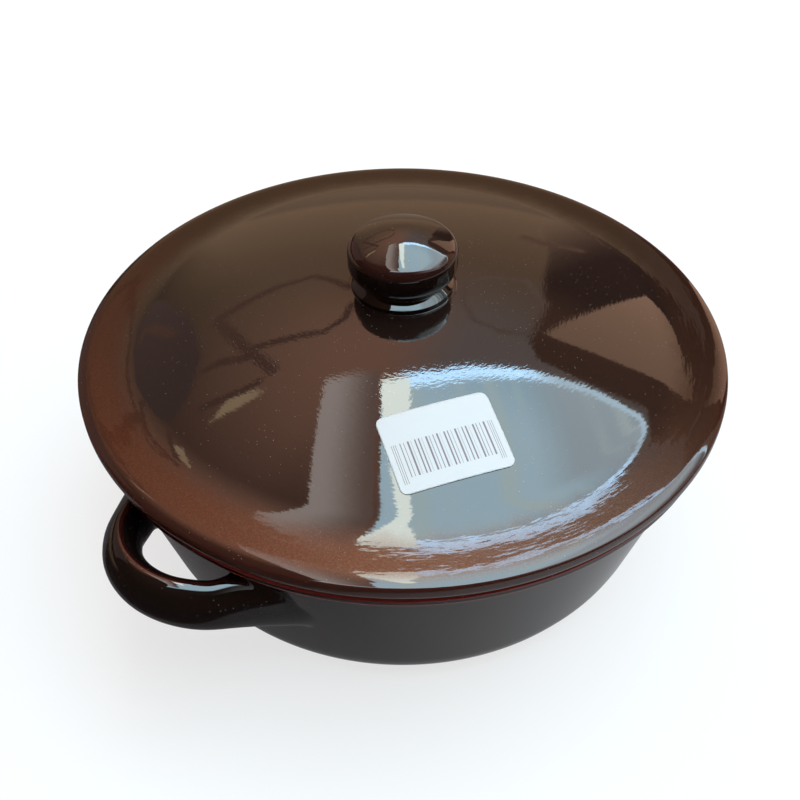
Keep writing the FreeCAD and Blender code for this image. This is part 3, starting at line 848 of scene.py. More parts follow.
def fillet(line, middle):
    """Points that lead a line out of the wall, up to where the strap is free."""
    handle = casserole().handle
    foot = cut_line(line, 0.0)[0]
    free = cut_line(line, handle.fillet)[0]
    bearing = math.atan2(foot.y, foot.x)
    normal = wall_normal(bearing)
    outwards = foot - middle
    outwards = (outwards - normal * outwards.dot(normal)).normalized()
    spread = foot + outwards * handle.fillet
    rim_spot = wall_spot(math.atan2(spread.y, spread.x), spread.z)
    rim_spot -= normal * CONTACT_SINK
    points = [foot.lerp(middle, HIDDEN_SHARE) - normal * HIDDEN_DEPTH]
    for step in range(FILLET_STEPS):
        place = step / FILLET_STEPS
        points.append(
            rim_spot * (1 - place) ** 2 + foot * (2 * place * (1 - place)) + free * place ** 2)
    return points


def spread_line(line, count):
    """A line with its points spaced evenly."""
    lengths = [0.0]
    for near, far in zip(line, line[1:]):
        lengths.append(lengths[-1] + (far - near).length)
    points = []
    index = 0
    for step in range(count + 1):
        target = lengths[-1] * step / count
        while index < len(line) - 2 and lengths[index + 1] < target:
            index += 1
        span = lengths[index + 1] - lengths[index]
        points.append(line[index].lerp(line[index + 1], (target - lengths[index]) / span))
    return points


def strap_mesh(name):
    """Closed mesh of a strap on the +X side, flowing into the wall at both roots."""
    handle = casserole().handle
    middles = [wall_spot(handle.root_bearing * side, PAN_HIGH.z - handle.root_drop)
               for side in (1, -1)]
    lines = []
    for line in strap_lines():
        first = fillet(line, middles[0])
        last = fillet(line[::-1], middles[1])
        free = cut_line(cut_line(line, handle.fillet)[::-1], handle.fillet)[::-1]
        lines.append(first + spread_line(free, STRAP_STEPS) + last[::-1])
    mesh = bmesh.new()
    thin = mesh.verts.layers.float.new("thin")
    grid = [[mesh.verts.new(point) for point in line] for line in lines]
    for index, line in enumerate(grid):
        rise = abs(math.sin(math.tau * index / STRAP_SIDES))
        for vert in line:
            vert[thin] = max(0.0, (rise - RIDGE_SHOULDER) / (1 - RIDGE_SHOULDER))
        beside = grid[index - 1]
        for step in range(len(line) - 1):
            mesh.faces.new((beside[step], line[step], line[step + 1], beside[step + 1]))
    for end in (0, -1):
        rim = [line[end] for line in grid]
        centre = mesh.verts.new(sum((vert.co for vert in rim), Vector()) / len(rim))
        for index, vert in enumerate(rim):
            mesh.faces.new((rim[index - 1], vert, centre))
    bmesh.ops.recalc_face_normals(mesh, faces=mesh.faces)
    mesh.normal_update()
    for vert in mesh.verts:
        vert.co -= vert.normal * pulled_wave(vert.co)
    result = bpy.data.meshes.new(name)
    mesh.to_mesh(result)
    mesh.free()
    return result


def pulled_wave(point):
    """Depth of the waves that the pulling hand leaves, never outwards."""
    handle = casserole().handle
    wave = noise.noise(point / handle.wave_size) * 0.5 + 0.5
    return LEAST_SINK + handle.wave * max(0.0, min(1.0, wave))


# Paper label

LABEL_CELL = 0.5 * MM
PAPER_LIFT = 0.03 * MM
DROP_STEPS = 6


def label_place():
    """Placement of the label's flat sheet over the dome."""
    label = casserole().label
    dome = Dome()
    distance = LID_HIGH.x - label.inset
    lean = dome.flank_tilt_at(distance)
    way = Vector((math.cos(label.bearing), math.sin(label.bearing), 0.0)) * distance
    turned = Matrix.Rotation(label.bearing, 4, "Z") @ Matrix.Rotation(lean, 4, "Y")
    turned = turned @ Matrix.Rotation(label.turn - label.bearing, 4, "Z")
    return Matrix.Translation(way + Vector((0, 0, dome.level(distance)))) @ turned


def drop_on_dome(point, way, lift):
    """Point moved along a way onto the dome's outer face, and a lift above it."""
    dome = Dome()
    for _ in range(DROP_STEPS):
        gap = point.z - dome.level(math.hypot(point.x, point.y)) - lift
        point = point - way * (gap / way.z)
    return point


def in_label(across, along):
    """Place drawn in to the label's rounded outline."""
    label = casserole().label
    half = Vector((label.width, label.depth)) / 2
    radius = label.corner
    core = Vector((max(-half.x + radius, min(half.x - radius, across)),
                   max(-half.y + radius, min(half.y - radius, along))))
    arm = Vector((across, along)) - core
    if arm.length > radius:
        arm *= radius / arm.length
    return core + arm


def label_mesh(name):
    """Thin closed sheet over the dome, with a flat map of its face in its own sizes."""
    label = casserole().label
    place = label_place()
    way = (place.to_3x3() @ Vector((0, 0, 1))).normalized()
    columns = round(label.width / LABEL_CELL)
    rows = round(label.depth / LABEL_CELL)
    mesh = bmesh.new()
    flat = mesh.loops.layers.uv.new("print")
    spots = {}
    layers = {}
    for layer, lift in (("face", label.paper), ("back", PAPER_LIFT)):
        for column in range(columns + 1):
            for row in range(rows + 1):
                spot = in_label(
                    label.width * (column / columns - 0.5), label.depth * (row / rows - 0.5))
                point = drop_on_dome(place @ Vector((spot.x, spot.y, 0.0)), way, lift)
                vert = mesh.verts.new(point)
                layers[layer, column, row] = vert
                spots[vert] = spot
    faces = []
    for column in range(columns):
        for row in range(rows):
            corners = (
                (column, row), (column + 1, row), (column + 1, row + 1), (column, row + 1))
            faces.append([layers["face", *corner] for corner in corners])
            faces.append([layers["back", *corner] for corner in reversed(corners)])
    rim = [(column, 0) for column in range(columns)]
    rim += [(columns, row) for row in range(rows)]
    rim += [(column, rows) for column in range(columns, 0, -1)]
    rim += [(0, row) for row in range(rows, 0, -1)]
    for index, corner in enumerate(rim):
        before = rim[index - 1]
        faces.append([layers["face", *before], layers["back", *before],
                      layers["back", *corner], layers["face", *corner]])
    for corners in faces:
        face = mesh.faces.new(corners)
        face.smooth = True
        for loop in face.loops:
            loop[flat].uv = spots[loop.vert] / MM
    bmesh.ops.remove_doubles(mesh, verts=mesh.verts, dist=MERGE_REACH)
    result = bpy.data.meshes.new(name)
    mesh.to_mesh(result)
    mesh.free()
    return result


# Materials


def new_material(name):
    """Material with an empty tree, and its graph."""
    material = bpy.data.materials.new(name)
    material.use_nodes = True
    material.node_tree.nodes.clear()
    return material, Graph(material.node_tree)


TURNING_REACH = 31 * MM
SPECK_CELL = 2 * MM
GLAZE_ROUGHNESS = 0.035
HANDLE_ROUGHNESS = 0.04
GLAZE_IOR = 1.7


def along_turning(graph, place):
    """Object coordinates drawn out along the turning, as the wheel draws its streaks."""
    across, along, up = graph.split(place)
    distance = graph.reach(across, along)
    far = graph.maths("MAXIMUM", distance, MM)
    near = graph.maths("MINIMUM", distance, TURNING_REACH)
    return graph.join(across / far * near, along / far * near, distance - up)


def glaze_base(name):
    """Start of each glaze: its material and graph, object coordinates and the thinning."""
    material, graph = new_material(name)
    place = graph.add("ShaderNodeTexCoord", output="Object")
    thin = graph.add("ShaderNodeAttribute", {"attribute_name": "thin"}, output="Fac")
    return material, graph, place, thin


def glaze_shader(graph, place, body, relief, roughness=GLAZE_ROUGHNESS):
    """Shader of the glaze: one glossy glass over its colour, with specks and fine relief."""
    patches = graph.noise(place, 20 * MM, seed=9.0, detail=1.0)
    specks = graph.ramp(graph.cells(place, SPECK_CELL), 0.10, 0.05)
    specks = specks * graph.ramp(patches, 0.36, 0.58, 0.05, 0.4)
    body = graph.blend(body, casserole().glaze.speck, specks)
    breath = graph.noise(place, 30 * MM, seed=4.0)
    gloss = graph.ramp(breath, 0.3, 0.7, roughness * 0.8, roughness * 1.25)
    return graph.add("ShaderNodeBsdfPrincipled", None, {
        "Base Color": body, "Roughness": gloss, "IOR": GLAZE_IOR, "Normal": graph.bump(relief)})


def broken_edge(graph, place, thin, size, first, last):
    """Where the glaze breaks over an edge, with a ragged border."""
    ragged = (graph.noise(place, size, seed=2.0, detail=3.0, roughness=0.6) - 0.5) * 0.5
    return graph.ramp(thin + ragged, first, last)


def pan_glaze():
    """Glaze of the pan: red on the rim's edges, and bare clay on the flat of the base."""
    look = casserole().glaze
    material, graph, place, thin = glaze_base("pan_glaze")
    up = graph.split(place)[2]
    # Darker where the glaze lies thick, in random patches
    blend_share = graph.ramp(graph.noise(place, 40 * MM, seed=1.0, detail=3.0), 0.4, 0.65)
    body = graph.blend(look.deep, look.dark, blend_share)
    body = graph.blend(body, look.edge, broken_edge(graph, place, thin, 5 * MM, 0.2, 0.8))
    wave = graph.noise(place, 16 * MM, seed=6.0) * (1.6 * MM)
    bare = graph.ramp(up + wave, 1.0 * MM, 0.8 * MM)
    grains = graph.noise(place, 1.2 * MM, seed=7.0, detail=4.0, roughness=0.7)
    clay = graph.blend(look.clay, look.clay_dark, graph.ramp(grains, 0.35, 0.75))
    body = graph.blend(body, clay, bare)
    streaks = graph.noise(along_turning(graph, place), 1.2 * MM, seed=3.0) * (0.008 * MM)
    rings = graph.noise(graph.join(0.0, 0.0, up), 5 * MM, seed=8.0, roughness=0.6) * (0.03 * MM)
    relief = streaks + rings + grains * bare * (0.08 * MM)
    graph.surface(glaze_shader(graph, place, body, relief))
    return material


# Painted sheen: the dull crystals of the lid's brim grow lighter along a level way, towards its
# near left side, and darker away from it
SHEEN_WAY = Vector((-0.984, -0.177, 0.0))
SHEEN_START = -50 * MM
SHEEN_FULL = 105 * MM
CRYSTAL_SHARE = 0.62
CRYSTAL_ROUGHNESS = 0.32


def lid_crystals(graph, place):
    """Shader of the dull crystals in the glaze, with painted sheen that lightens them towards the
    brim's near left side, and pale grit that grows with that sheen.
    """
    look = casserole().glaze
    across, along, _ = graph.split(place)
    way = across * SHEEN_WAY.x + along * SHEEN_WAY.y
    # Painted sheen: share of the lit crystal colour along the level way
    blend_share = graph.ramp(way, SHEEN_START, SHEEN_FULL)
    crystals = graph.blend(look.crystal_shaded_side, look.crystal, blend_share)
    grit = graph.noise(place, 0.6 * MM, seed=12.0, roughness=0.6)
    grit = graph.ramp(grit, 0.4, 0.7, 0.0, 0.10)
    crystals = graph.blend(crystals, look.speck, grit * blend_share)
    grains = graph.noise(place, 0.5 * MM, seed=11.0, roughness=0.6) * (0.06 * MM)
    return graph.add("ShaderNodeBsdfPrincipled", None, {
        "Base Color": crystals, "Metallic": 1.0, "Roughness": CRYSTAL_ROUGHNESS,
        "Normal": graph.bump(grains)})


def lid_glaze():
    """Glaze of the lid: deep on the dome, warmer on the brim and the lip."""
    look = casserole().glaze
    material, graph, place, thin = glaze_base("lid_glaze")
    across, along, _ = graph.split(place)
    distance = graph.reach(across, along)
    brim = LID_HIGH.x - casserole().lid.brim_width
    border = graph.noise(place, 9 * MM, seed=1.0, detail=3.0, roughness=0.6)
    border = (border - 0.5) * (9 * MM)
    outer = graph.ramp(distance + border, brim - 6 * MM, brim + 7 * MM)
    lip = graph.ramp(distance, LID_HIGH.x - 6 * MM, LID_HIGH.x - 1 * MM)
    body = graph.blend(look.deep, look.warm, outer)
    body = graph.blend(body, look.lip, lip)
    worn = broken_edge(graph, place, thin, 5 * MM, 0.4, 1.0)
    body = graph.blend(body, look.edge, worn * 0.12)
    drawn = along_turning(graph, place)
    fine = graph.noise(drawn, 1.2 * MM, seed=3.0) * (0.015 * MM)
    broad = graph.noise(drawn, 4 * MM, seed=5.0) * outer * (0.05 * MM)
    gloss = glaze_shader(graph, place, body, fine + broad)
    dull = outer * (1.0 - lip) * CRYSTAL_SHARE
    graph.surface(graph.mix(dull, gloss, lid_crystals(graph, place)))
    return material


def knob_glaze():
    """Glaze of the knob: warmer on the head, darker below it, which is painted shade under the
    head.
    """
    look = casserole().glaze
    material, graph, place, thin = glaze_base("knob_glaze")
    up = graph.split(place)[2]
    # Painted shade: darker below the top of the head
    head = graph.ramp(up, KNOB_HIGH.z - 14 * MM, KNOB_HIGH.z - 6 * MM)
    body = graph.blend(look.dark, look.deep, head)
    worn = broken_edge(graph, place, thin, 4 * MM, 0.3, 1.1)
    body = graph.blend(body, look.edge, worn * head * 0.14)
    relief = graph.noise(place, 1.6 * MM, seed=3.0) * (0.012 * MM)
    graph.surface(glaze_shader(graph, place, body, relief))
    return material


def handle_glaze():
    """Glaze of the handles: nearly black, red-brown on the ridge, and pitted in patches."""
    look = casserole().glaze
    material, graph, place, thin = glaze_base("handle_glaze")
    worn = broken_edge(graph, place, thin, 4 * MM, 0.3, 1.2)
    body = graph.blend(look.dark, look.edge, worn * 0.22)
    relief = graph.noise(place, 2.0 * MM, seed=3.0) * (0.012 * MM)
    relief = relief + graph.noise(place, 9 * MM, seed=4.0) * (0.07 * MM)
    pits = graph.ramp(graph.cells(place, 2.6 * MM), 0.28, 0.0)
    patches = graph.ramp(graph.noise(place, 12 * MM, seed=5.0), 0.48, 0.62)
    relief = relief - pits * patches * (0.10 * MM)
    graph.surface(glaze_shader(graph, place, body, relief, HANDLE_ROUGHNESS))
    return material


# Print of the label, in millimetres from its middle; widths of bars are shares of their pitch
BAR_PITCH = 1.28
BAR_START = 20.0
BAR_WIDTH = 0.28
BAR_SWING = 0.22
BAR_BEAT = 2.4
BARS_HALF = 15.3
BARS_LOW = -9.5
BARS_HIGH = 3.5
GUARDS = 3
GUARD_PITCH = 0.7
GUARD_END = 17.8
GUARDS_LOW = -11.5
INK_COVER = 0.85
FIBRE_SIZE = 0.5


def inside(graph, value, low, high, soft):
    """1 where a value lies between two limits, with soft borders."""
    above = graph.ramp(value, low - soft, low + soft)
    return above * graph.ramp(value, high + soft, high - soft)


def printed_bars(graph, across, along):
    """1 on the bars of uneven width and on the longer guard bars at both ends."""
    step = (across + BAR_START) / BAR_PITCH
    wide = BAR_WIDTH + BAR_SWING * graph.maths("SINE", graph.maths("FLOOR", step) * BAR_BEAT)
    bars = graph.ramp(graph.maths("FRACT", step) - wide, 0.06, -0.06)
    bars = bars * inside(graph, across, -BARS_HALF, BARS_HALF, 0.03)
    bars = bars * inside(graph, along, BARS_LOW, BARS_HIGH, 0.05)
    from_end = GUARD_END - graph.maths("ABSOLUTE", across)
    guards = graph.ramp(graph.maths("FRACT", from_end / GUARD_PITCH), 0.30, 0.22)
    guards = guards * inside(graph, from_end, 0.0, GUARDS * GUARD_PITCH, 0.02)
    guards = guards * inside(graph, along, GUARDS_LOW, BARS_HIGH, 0.05)
    return graph.maths("MAXIMUM", bars, guards)


def label_paper():
    """White coated paper with a generic panel of printed bars."""
    look = casserole().glaze
    material, graph = new_material("label_paper")
    flat = graph.add("ShaderNodeUVMap", {"uv_map": "print"})
    across, along, _ = graph.split(flat)
    fibres = graph.noise(flat, FIBRE_SIZE, seed=1.0, detail=3.0, roughness=0.6)
    paper = graph.blend(look.paper, look.paper_shade, fibres)
    shade = graph.blend(paper, look.ink, printed_bars(graph, across, along) * INK_COVER)
    graph.surface(graph.add("ShaderNodeBsdfPrincipled", None, {
        "Base Color": shade, "Roughness": 0.4, "IOR": 1.45}))
    return material


# Stage: directions are ahead and left of the camera's way over the floor

CAMERA_PLACE = Vector((-0.2453, -0.2044, 0.3474))
CAMERA_WAY = Vector((0.5615, 0.4712, -0.6802))
CAMERA_ROLL = math.radians(-0.11)
CAMERA_LENS = 47.47
SENSOR_WIDTH = 36.0
AHEAD = Vector((CAMERA_WAY.x, CAMERA_WAY.y, 0.0)).normalized()
LEFT = Vector((-AHEAD.y, AHEAD.x, 0.0))
SURROUND_RADIUS = 60.0
SURROUND_SIDES = 48
SURROUND_RINGS = 12
PANEL_HEIGHT = 12.0
RIB_DISTANCE = 36.0
FLOOR_HALF = 68.0
FLOOR_LEVEL = -0.05 * MM
FLOOR_LIFT = 0.72
FLOOR_GREY = (0.86, 0.86, 0.86)
WHITE = (1.0, 1.0, 1.0)


def make_camera():
    """Camera of the photo."""
    data = bpy.data.cameras.new("photo_camera")
    data.lens = CAMERA_LENS
    data.sensor_width = SENSOR_WIDTH
    camera = bpy.data.objects.new("photo_camera", data)
    bpy.context.scene.collection.objects.link(camera)
    turn = CAMERA_WAY.to_track_quat("-Z", "Y").to_matrix().to_4x4()
    turn = turn @ Matrix.Rotation(CAMERA_ROLL, 4, "Z")
    camera.matrix_world = Matrix.Translation(CAMERA_PLACE) @ turn
    bpy.context.scene.camera = camera


def stage_object(name, points, faces, material, seen=False):
    """Piece of the stage, which isn't part of the pan; the camera sees only the floor."""
    mesh = bpy.data.meshes.new(name)
    mesh.from_pydata(points, [], faces)
    mesh.materials.append(material)
    item = new_object(name, mesh)
    item.visible_camera = seen


def aim(bearing, rise):
    """Direction at a bearing to the left and a rise, in degrees."""
    bearing, rise = math.radians(bearing), math.radians(rise)
    level = AHEAD * math.cos(bearing) + LEFT * math.sin(bearing)
    return level * math.cos(rise) + Vector((0, 0, math.sin(rise)))


def card(name, points, material):
    """Card with one face."""
    stage_object(name, points, [range(len(points))], material)


def overhead_card(name, outline, material, drop=0.0):
    """Card overhead; its corners are ahead and left, as shares of its height."""
    level = PANEL_HEIGHT - drop
    points = [(AHEAD * ahead + LEFT * left) * level + Vector((0, 0, level))
              for ahead, left in outline]
    card(name, points, material)


def upright_card(name, outline, material, distance):
    """Card beside the camera's way; its corners are bearings to the left and rises."""
    card(name, [aim(*corner) * distance for corner in outline], material)


def upright_strip(name, line, width, material):
    """Narrow strip of a width in degrees, along bearings to the left and rises."""
    ways = [aim(*corner) for corner in line]
    points = []
    for index, way in enumerate(ways):
        ahead = ways[min(index + 1, len(ways) - 1)] - ways[max(index - 1, 0)]
        side = way.cross(ahead).normalized() * math.tan(math.radians(width / 2))
        points += [(way - side) * RIB_DISTANCE, (way + side) * RIB_DISTANCE]
    faces = [(2 * step, 2 * step + 1, 2 * step + 3, 2 * step + 2) for step in range(len(ways) - 1)]
    stage_object(name, points, faces, material)


def stage_ways(graph):
    """How far a point of the stage lies ahead, left and up."""
    place = graph.add("ShaderNodeTexCoord", output="Object")
    dot = {"operation": "DOT_PRODUCT"}
    ahead, left = [
        graph.add("ShaderNodeVectorMath", dot, {0: place, 1: way}, "Value")
        for way in (AHEAD, LEFT)]
    return ahead, left, graph.split(place)[2]


def overhead_ways(graph):
    """How far a point overhead lies ahead and left, as shares of its height."""
    ahead, left, up = stage_ways(graph)
    return ahead / up, left / up


def stage_angles(graph):
    """Bearing to the left and rise of a point of the stage, in degrees."""
    ahead, left, up = stage_ways(graph)
    level = graph.reach(ahead, left)
    return [graph.maths("ARCTAN2", side, base) * math.degrees(1)
            for side, base in ((left, ahead), (up, level))]


def unsampled(material):
    """Large even glow is found by chance rays alone, which keeps the render quick."""
    material.cycles.emission_sampling = "NONE"
    return material


def plain_glow(name, colour):
    """Material that gives out one colour."""
    material, graph = new_material(name)
    graph.surface(graph.emission(colour))
    return material


def panel_glow():
    """Light panel overhead: bluer far off, with soft bands, and dark behind the camera."""
    material, graph = new_material("panel_glow")
    ahead, left = overhead_ways(graph)
    pane = graph.blend((3.7, 5.2, 6.0), (2.75, 4.2, 5.1), graph.ramp(ahead, 0.3, 0.6))
    pane = graph.blend(pane, (3.0, 3.7, 4.1), graph.ramp(left, -0.4, -0.6))
    pane = graph.blend(pane, (0.5, 0.5, 0.5), graph.ramp(left, -0.8, -1.4))
    bands = graph.noise(graph.join(left, ahead * 0.15, 0.0), 0.09, seed=2.0)
    pane = graph.blend(pane, (4.3, 5.2, 5.0), graph.ramp(bands, 0.5, 0.7, 0.0, 0.6))
    behind = graph.blend((0.08, 0.06, 0.05), (0.9, 0.9, 0.9), graph.ramp(left, -0.3, -1.2))
    pane = graph.blend(pane, behind, graph.ramp(ahead, -0.42, -0.58))
    graph.surface(graph.emission(pane))
    return material


def strip_glow():
    """Bright strip along the panel's far edge, weaker to the right."""
    material, graph = new_material("strip_glow")
    right = graph.ramp(overhead_ways(graph)[1], -0.42, -0.62)
    graph.surface(graph.emission(graph.blend((7.0, 11.0, 15.0), (4.2, 5.6, 6.6), right)))
    return material


def soft_card_glow():
    """Pale card left of the panel, brighter to the left."""
    material, graph = new_material("soft_card_glow")
    left = graph.ramp(overhead_ways(graph)[1], 0.09, 0.26)
    graph.surface(graph.emission(graph.blend((1.0, 0.65, 0.55), (2.75, 2.3, 2.1), left)))
    return material


def flag_glow():
    """Dark flag on the right, darkest low down and to the right."""
    material, graph = new_material("flag_glow")
    bearing, rise = stage_angles(graph)
    dark = graph.blend((0.07, 0.035, 0.03), (0.25, 0.12, 0.075), graph.ramp(rise, 22.0, 36.0))
    dark = graph.blend((0.50, 0.31, 0.20), dark, graph.ramp(bearing, -14.0, -25.0))
    graph.surface(graph.emission(dark))
    return material


def surround_glow():
    """Dim brown surround: brighter high up, darker to the left and behind."""
    material, graph = new_material("surround_glow")
    bearing, rise = stage_angles(graph)
    brown = graph.blend((0.50, 0.315, 0.19), (1.35, 0.68, 0.46), graph.ramp(rise, 20.0, 60.0))
    fade = graph.ramp(bearing, 20.0, (rise - 20.0) * 1.15 + 45.0, 1.0, 0.09)
    fade = fade * graph.ramp(rise, 62.0, 72.0, 1.0, 0.75)
    left_side = graph.blend((0.0, 0.0, 0.0), brown, fade)
    right_side = graph.blend((0.48, 0.30, 0.18), (0.80, 0.66, 0.62), graph.ramp(rise, 20.0, 57.0))
    right_side = graph.blend((0.05, 0.03, 0.02), right_side, graph.ramp(bearing, -100.0, -60.0))
    both = graph.blend(right_side, left_side, graph.ramp(bearing, -26.0, 10.0))
    graph.surface(graph.emission(both))
    return unsampled(material)


def make_surround():
    """Half sphere round the stage."""
    points = [(0.0, 0.0, SURROUND_RADIUS)]
    rings = [[0] * SURROUND_SIDES]
    for ring in range(1, SURROUND_RINGS + 1):
        tilt = math.pi / 2 * ring / SURROUND_RINGS
        radius = SURROUND_RADIUS * math.sin(tilt)
        rings.append(range(len(points), len(points) + SURROUND_SIDES))
        for side in range(SURROUND_SIDES):
            turn = math.tau * side / SURROUND_SIDES
            points.append((
                radius * math.cos(turn), radius * math.sin(turn),
                SURROUND_RADIUS * math.cos(tilt)))
    faces = []
    for upper, lower in zip(rings, rings[1:]):
        for side in range(SURROUND_SIDES):
            corners = (upper[side - 1], lower[side - 1], lower[side], upper[side])
            faces.append(tuple(dict.fromkeys(corners)))
    stage_object("surround", points, faces, surround_glow())


# Cards that the glaze mirrors: corners overhead are shares of the height, the others degrees

STRIP_DROP = 0.05
CREAM_DROP = 0.1
STRIP_WIDTH = 0.045
PANEL_EDGE = [(0.43, 0.075), (0.48, -0.14), (0.655, -0.50), (0.715, -0.72), (0.73, -4.0)]
PANEL = PANEL_EDGE + [(-1.05, -4.0), (-1.05, 0.75), (0.0, 0.06)]
STRIP = PANEL_EDGE + [(ahead - STRIP_WIDTH, left) for ahead, left in reversed(PANEL_EDGE)]
CREAM_STRIP = [
    (0.0, -0.035), (0.0, 0.0), (0.05, 0.012), (0.155, 0.035), (0.268, 0.058), (0.384, 0.075),
    (0.44, 0.08), (0.44, -0.03), (0.268, -0.025), (0.155, -0.015), (0.05, -0.03)]
SOFT_CARD = [(-0.4, 0.085), (0.47, 0.085), (0.50, 0.285), (-0.4, 0.285)]

FAR_DISTANCE = 52.0
TAN_DISTANCE = 40.0
PATCH_DISTANCE = 38.0
DARK_FLAG = [
    (-14, 0), (-17, 8), (-20, 15), (-23, 23), (-27, 31), (-29, 37), (-32, 44), (-36, 47),
    (-46, 43), (-58, 30), (-58, 0)]
TAN_CARD = [
    (-31.8, 0), (-31.8, 34), (-32.3, 40), (-36, 38.5), (-40, 36.5), (-44, 33.5), (-47, 31),
    (-52, 27), (-52, 0)]
VIOLET_CARD = [
    (32, 16), (33, 22), (34, 26), (40, 36), (47, 41), (52, 42), (75, 42), (75, 8), (34, 8)]
TAN_PATCH = [(52, 49), (46, 48), (42.5, 51), (42, 53), (47, 51.5)]

DARK_RIB_WIDTH = 1.5
DARK_RIBS = (
    [(33, 30), (28, 29), (22, 28), (17, 28), (14, 32), (11, 37)],
    [(35, 42), (29, 46), (24, 49), (16, 47), (12, 42)],
    [(33, 30), (36, 42), (37, 51)],
    [(43, 39), (40, 40), (37, 44)],
    [(50, 45), (44, 49), (40, 50.5)],
    [(37, 21), (37.5, 27)],
    [(-15, 10), (-18, 11), (-22, 9)],
)
SOFT_RIB_WIDTH = 1.0
SOFT_RIB = [
    (-13, 34), (-17, 29), (-22, 26), (-27, 31), (-29, 37), (-31, 42), (-27, 46), (-20, 46),
    (-15, 41), (-13, 34)]


def make_cards():
    """Light, soft, dark and tan cards, and thin ribs."""
    cream = plain_glow("cream_glow", (9.0, 9.9, 9.2))
    overhead_card("light_panel", PANEL, panel_glow())
    overhead_card("light_strip", STRIP, strip_glow(), STRIP_DROP)
    overhead_card("cream_strip", CREAM_STRIP, cream, CREAM_DROP)
    overhead_card("soft_card", SOFT_CARD, soft_card_glow(), STRIP_DROP)
    violet = plain_glow("violet_glow", (0.27, 0.17, 0.15))
    tan_card = plain_glow("tan_card_glow", (1.25, 0.74, 0.49))
    upright_card("dark_flag", DARK_FLAG, flag_glow(), FAR_DISTANCE)
    upright_card("tan_card", TAN_CARD, tan_card, TAN_DISTANCE)
    upright_card("violet_card", VIOLET_CARD, violet, FAR_DISTANCE)
    upright_card("tan_patch", TAN_PATCH, plain_glow("tan_glow", (2.0, 1.4, 0.85)), PATCH_DISTANCE)
    rib = plain_glow("rib_glow", (0.38, 0.20, 0.14))
    for index, line in enumerate(DARK_RIBS):
        upright_strip("dark_rib_%d" % index, line, DARK_RIB_WIDTH, rib)
    upright_strip("soft_rib", SOFT_RIB, SOFT_RIB_WIDTH, plain_glow("fold_glow", (0.60, 0.40, 0.32)))


def seen_rays(graph):
    """1 for rays that the camera sees straight, mirrored or through glass; 1 for mirrored rays."""
    rays = graph.add("ShaderNodeLightPath")
    mirrored = rays.other("Is Glossy Ray")
    bent = graph.maths("MAXIMUM", mirrored, rays.other("Is Transmission Ray"))
    return graph.maths("MAXIMUM", rays, bent), mirrored


def floor_white():
    """Matt white that fades into the background; mirrored rays see painted shadow instead, darker
    to the left of the pan and darkest left of its left handle, and dim brown further off.
    """
    material, graph = new_material("floor_white")
    ahead, left, _ = stage_ways(graph)
    distance = graph.reach(ahead, left)
    seen, mirrored = seen_rays(graph)
    matt = graph.add("ShaderNodeBsdfPrincipled", None, {
        "Base Color": opaque(FLOOR_GREY), "Roughness": 0.9})
    lift = graph.ramp(distance, 0.5, 1.5, FLOOR_LIFT, 1.0) * (seen * (1.0 - mirrored))
    plain = graph.mix(lift, matt, graph.emission(WHITE))
    side = graph.split(graph.add("ShaderNodeTexCoord", output="Object"))[0]
    # Painted shadow of the pan on the floor, as mirrored rays see it: darker to the left, darkest
    # left of the left handle
    mirrored_shadow = graph.blend((0.125, 0.120, 0.125), (0.48, 0.50, 0.52), graph.ramp(left, 0.10, -0.17))
    mirrored_shadow = graph.blend(mirrored_shadow, (0.04, 0.03, 0.03), graph.ramp(side, -0.160, -0.176))
    far_tone = graph.blend((0.05, 0.03, 0.02), (0.35, 0.23, 0.15), graph.ramp(ahead, -0.1, 0.2))
    mirrored_shadow = graph.blend(mirrored_shadow, far_tone, graph.ramp(distance, 0.35, 0.7))
    graph.surface(graph.mix(mirrored, plain, graph.emission(mirrored_shadow)))
    return unsampled(material)


def make_floor():
    """Pale floor that keeps the pan's shadow."""
    ends = (-FLOOR_HALF, FLOOR_HALF)
    points = [(across, along, FLOOR_LEVEL) for along in ends for across in ends]
    stage_object("floor", points, [(0, 1, 3, 2)], floor_white(), seen=True)


def make_world():
    """White background for the camera, mirrored rays and rays through glass."""
    world = bpy.data.worlds.new("studio")
    world.use_nodes = True
    world.node_tree.nodes.clear()
    graph = Graph(world.node_tree)
    seen, _ = seen_rays(graph)
    light = graph.add("ShaderNodeBackground", None, {"Color": opaque(WHITE), "Strength": seen})
    graph.add("ShaderNodeOutputWorld", None, {"Surface": light})
    bpy.context.scene.world = world


class CASSEROLE_OT_pan(bpy.types.Operator):
    """Turn the pan body and glaze it"""

    bl_idname = "casserole.pan"
    bl_label = "Pan Body"

    def execute(self, context):
        piece = turned_piece("pan_body_clay", pan_profile(), SOFT_THROW, pan_glaze(), seed=3.0)
        finish_piece(piece, "pan", "pan_body")
        return {"FINISHED"}


class CASSEROLE_OT_lid(bpy.types.Operator):
    """Turn the lid and glaze it"""

    bl_idname = "casserole.lid"
    bl_label = "Lid"

    def execute(self, context):
        piece = turned_piece("lid_clay", lid_profile(), SOFT_THROW, lid_glaze(), seed=8.0)
        finish_piece(piece, "lid", "lid")
        return {"FINISHED"}


class CASSEROLE_OT_knob(bpy.types.Operator):
    """Turn the knob and glaze it"""

    bl_idname = "casserole.knob"
    bl_label = "Knob"

    def execute(self, context):
        piece = turned_piece(
            "knob_clay", knob_profile(), SOFT_TURNING, knob_glaze(), seed=12.0)
        finish_piece(piece, "lid", "knob")
        return {"FINISHED"}


class CASSEROLE_OT_handles(bpy.types.Operator):
    """Pull both strap handles and glaze them"""

    bl_idname = "casserole.handles"
    bl_label = "Handles"

    def execute(self, context):
        glaze = handle_glaze()
        for side, bearing in (("right", 0.0), ("left", math.pi)):
            mesh = strap_mesh("handle_%s_clay" % side)
            mesh.transform(Matrix.Rotation(bearing, 4, "Z"))
            mesh.materials.append(glaze)
            mesh.shade_smooth()
            piece = new_object("handle_%s_clay" % side, mesh)
            finish_piece(piece, "pan", "handle_" + side)
        return {"FINISHED"}


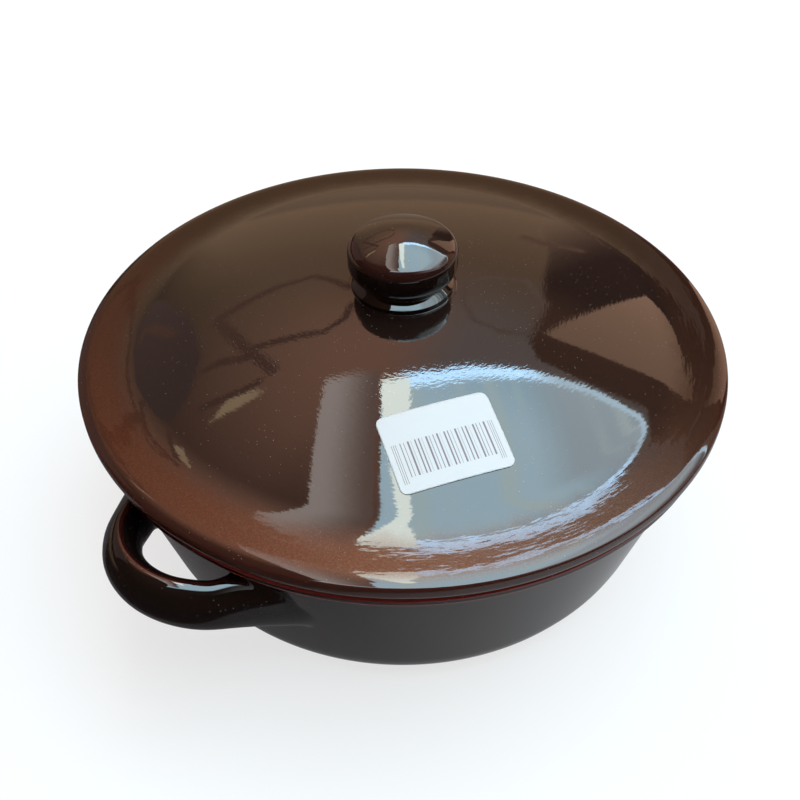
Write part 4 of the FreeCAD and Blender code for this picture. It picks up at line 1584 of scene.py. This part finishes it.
class CASSEROLE_OT_label(bpy.types.Operator):
    """Stick the paper label on the dome"""

    bl_idname = "casserole.label"
    bl_label = "Label"

    def execute(self, context):
        mesh = label_mesh("label_sheet")
        mesh.materials.append(label_paper())
        piece = new_object("label_sheet", mesh)
        finish_piece(piece, "lid", "label")
        return {"FINISHED"}


class CASSEROLE_OT_stage(bpy.types.Operator):
    """Set up the floor, the light and the camera"""

    bl_idname = "casserole.stage"
    bl_label = "Stage"

    def execute(self, context):
        make_camera()
        make_floor()
        make_surround()
        make_cards()
        make_world()
        context.scene.view_settings.view_transform = "Standard"
        return {"FINISHED"}


def finish_piece(piece, body, node):
    """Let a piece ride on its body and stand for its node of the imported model."""
    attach(piece, body)
    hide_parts(node)


OPERATORS = (
    CASSEROLE_OT_stage, CASSEROLE_OT_pan, CASSEROLE_OT_handles, CASSEROLE_OT_lid,
    CASSEROLE_OT_knob, CASSEROLE_OT_label)


class CASSEROLE_PT_panel(bpy.types.Panel):
    """Buttons of all pieces, in the order in which they are made"""

    bl_idname = "CASSEROLE_PT_panel"
    bl_label = "Casserole Pan"
    bl_space_type = "VIEW_3D"
    bl_region_type = "UI"
    bl_category = "Casserole"

    def draw(self, context):
        for operator in OPERATORS:
            self.layout.operator(operator.bl_idname)


CLASSES = (
    PanSizes, LidSizes, KnobSizes, HandleSizes, LabelSizes, ClaySettings, GlazeSettings,
    CasseroleSettings, *OPERATORS, CASSEROLE_PT_panel)


def register():
    """Add the settings, the operators and the panel."""
    for kind in CLASSES:
        bpy.utils.register_class(kind)
    bpy.types.Scene.casserole = PointerProperty(type=CasseroleSettings)


def unregister():
    """Take them away again."""
    del bpy.types.Scene.casserole
    for kind in reversed(CLASSES):
        bpy.utils.unregister_class(kind)


def main():
    """Dress the pan."""
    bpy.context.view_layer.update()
    register()
    bpy.ops.casserole.stage()
    bpy.ops.casserole.pan()
    bpy.ops.casserole.handles()
    bpy.ops.casserole.lid()
    bpy.ops.casserole.knob()
    bpy.ops.casserole.label()


if __name__ == "__main__":
    main()
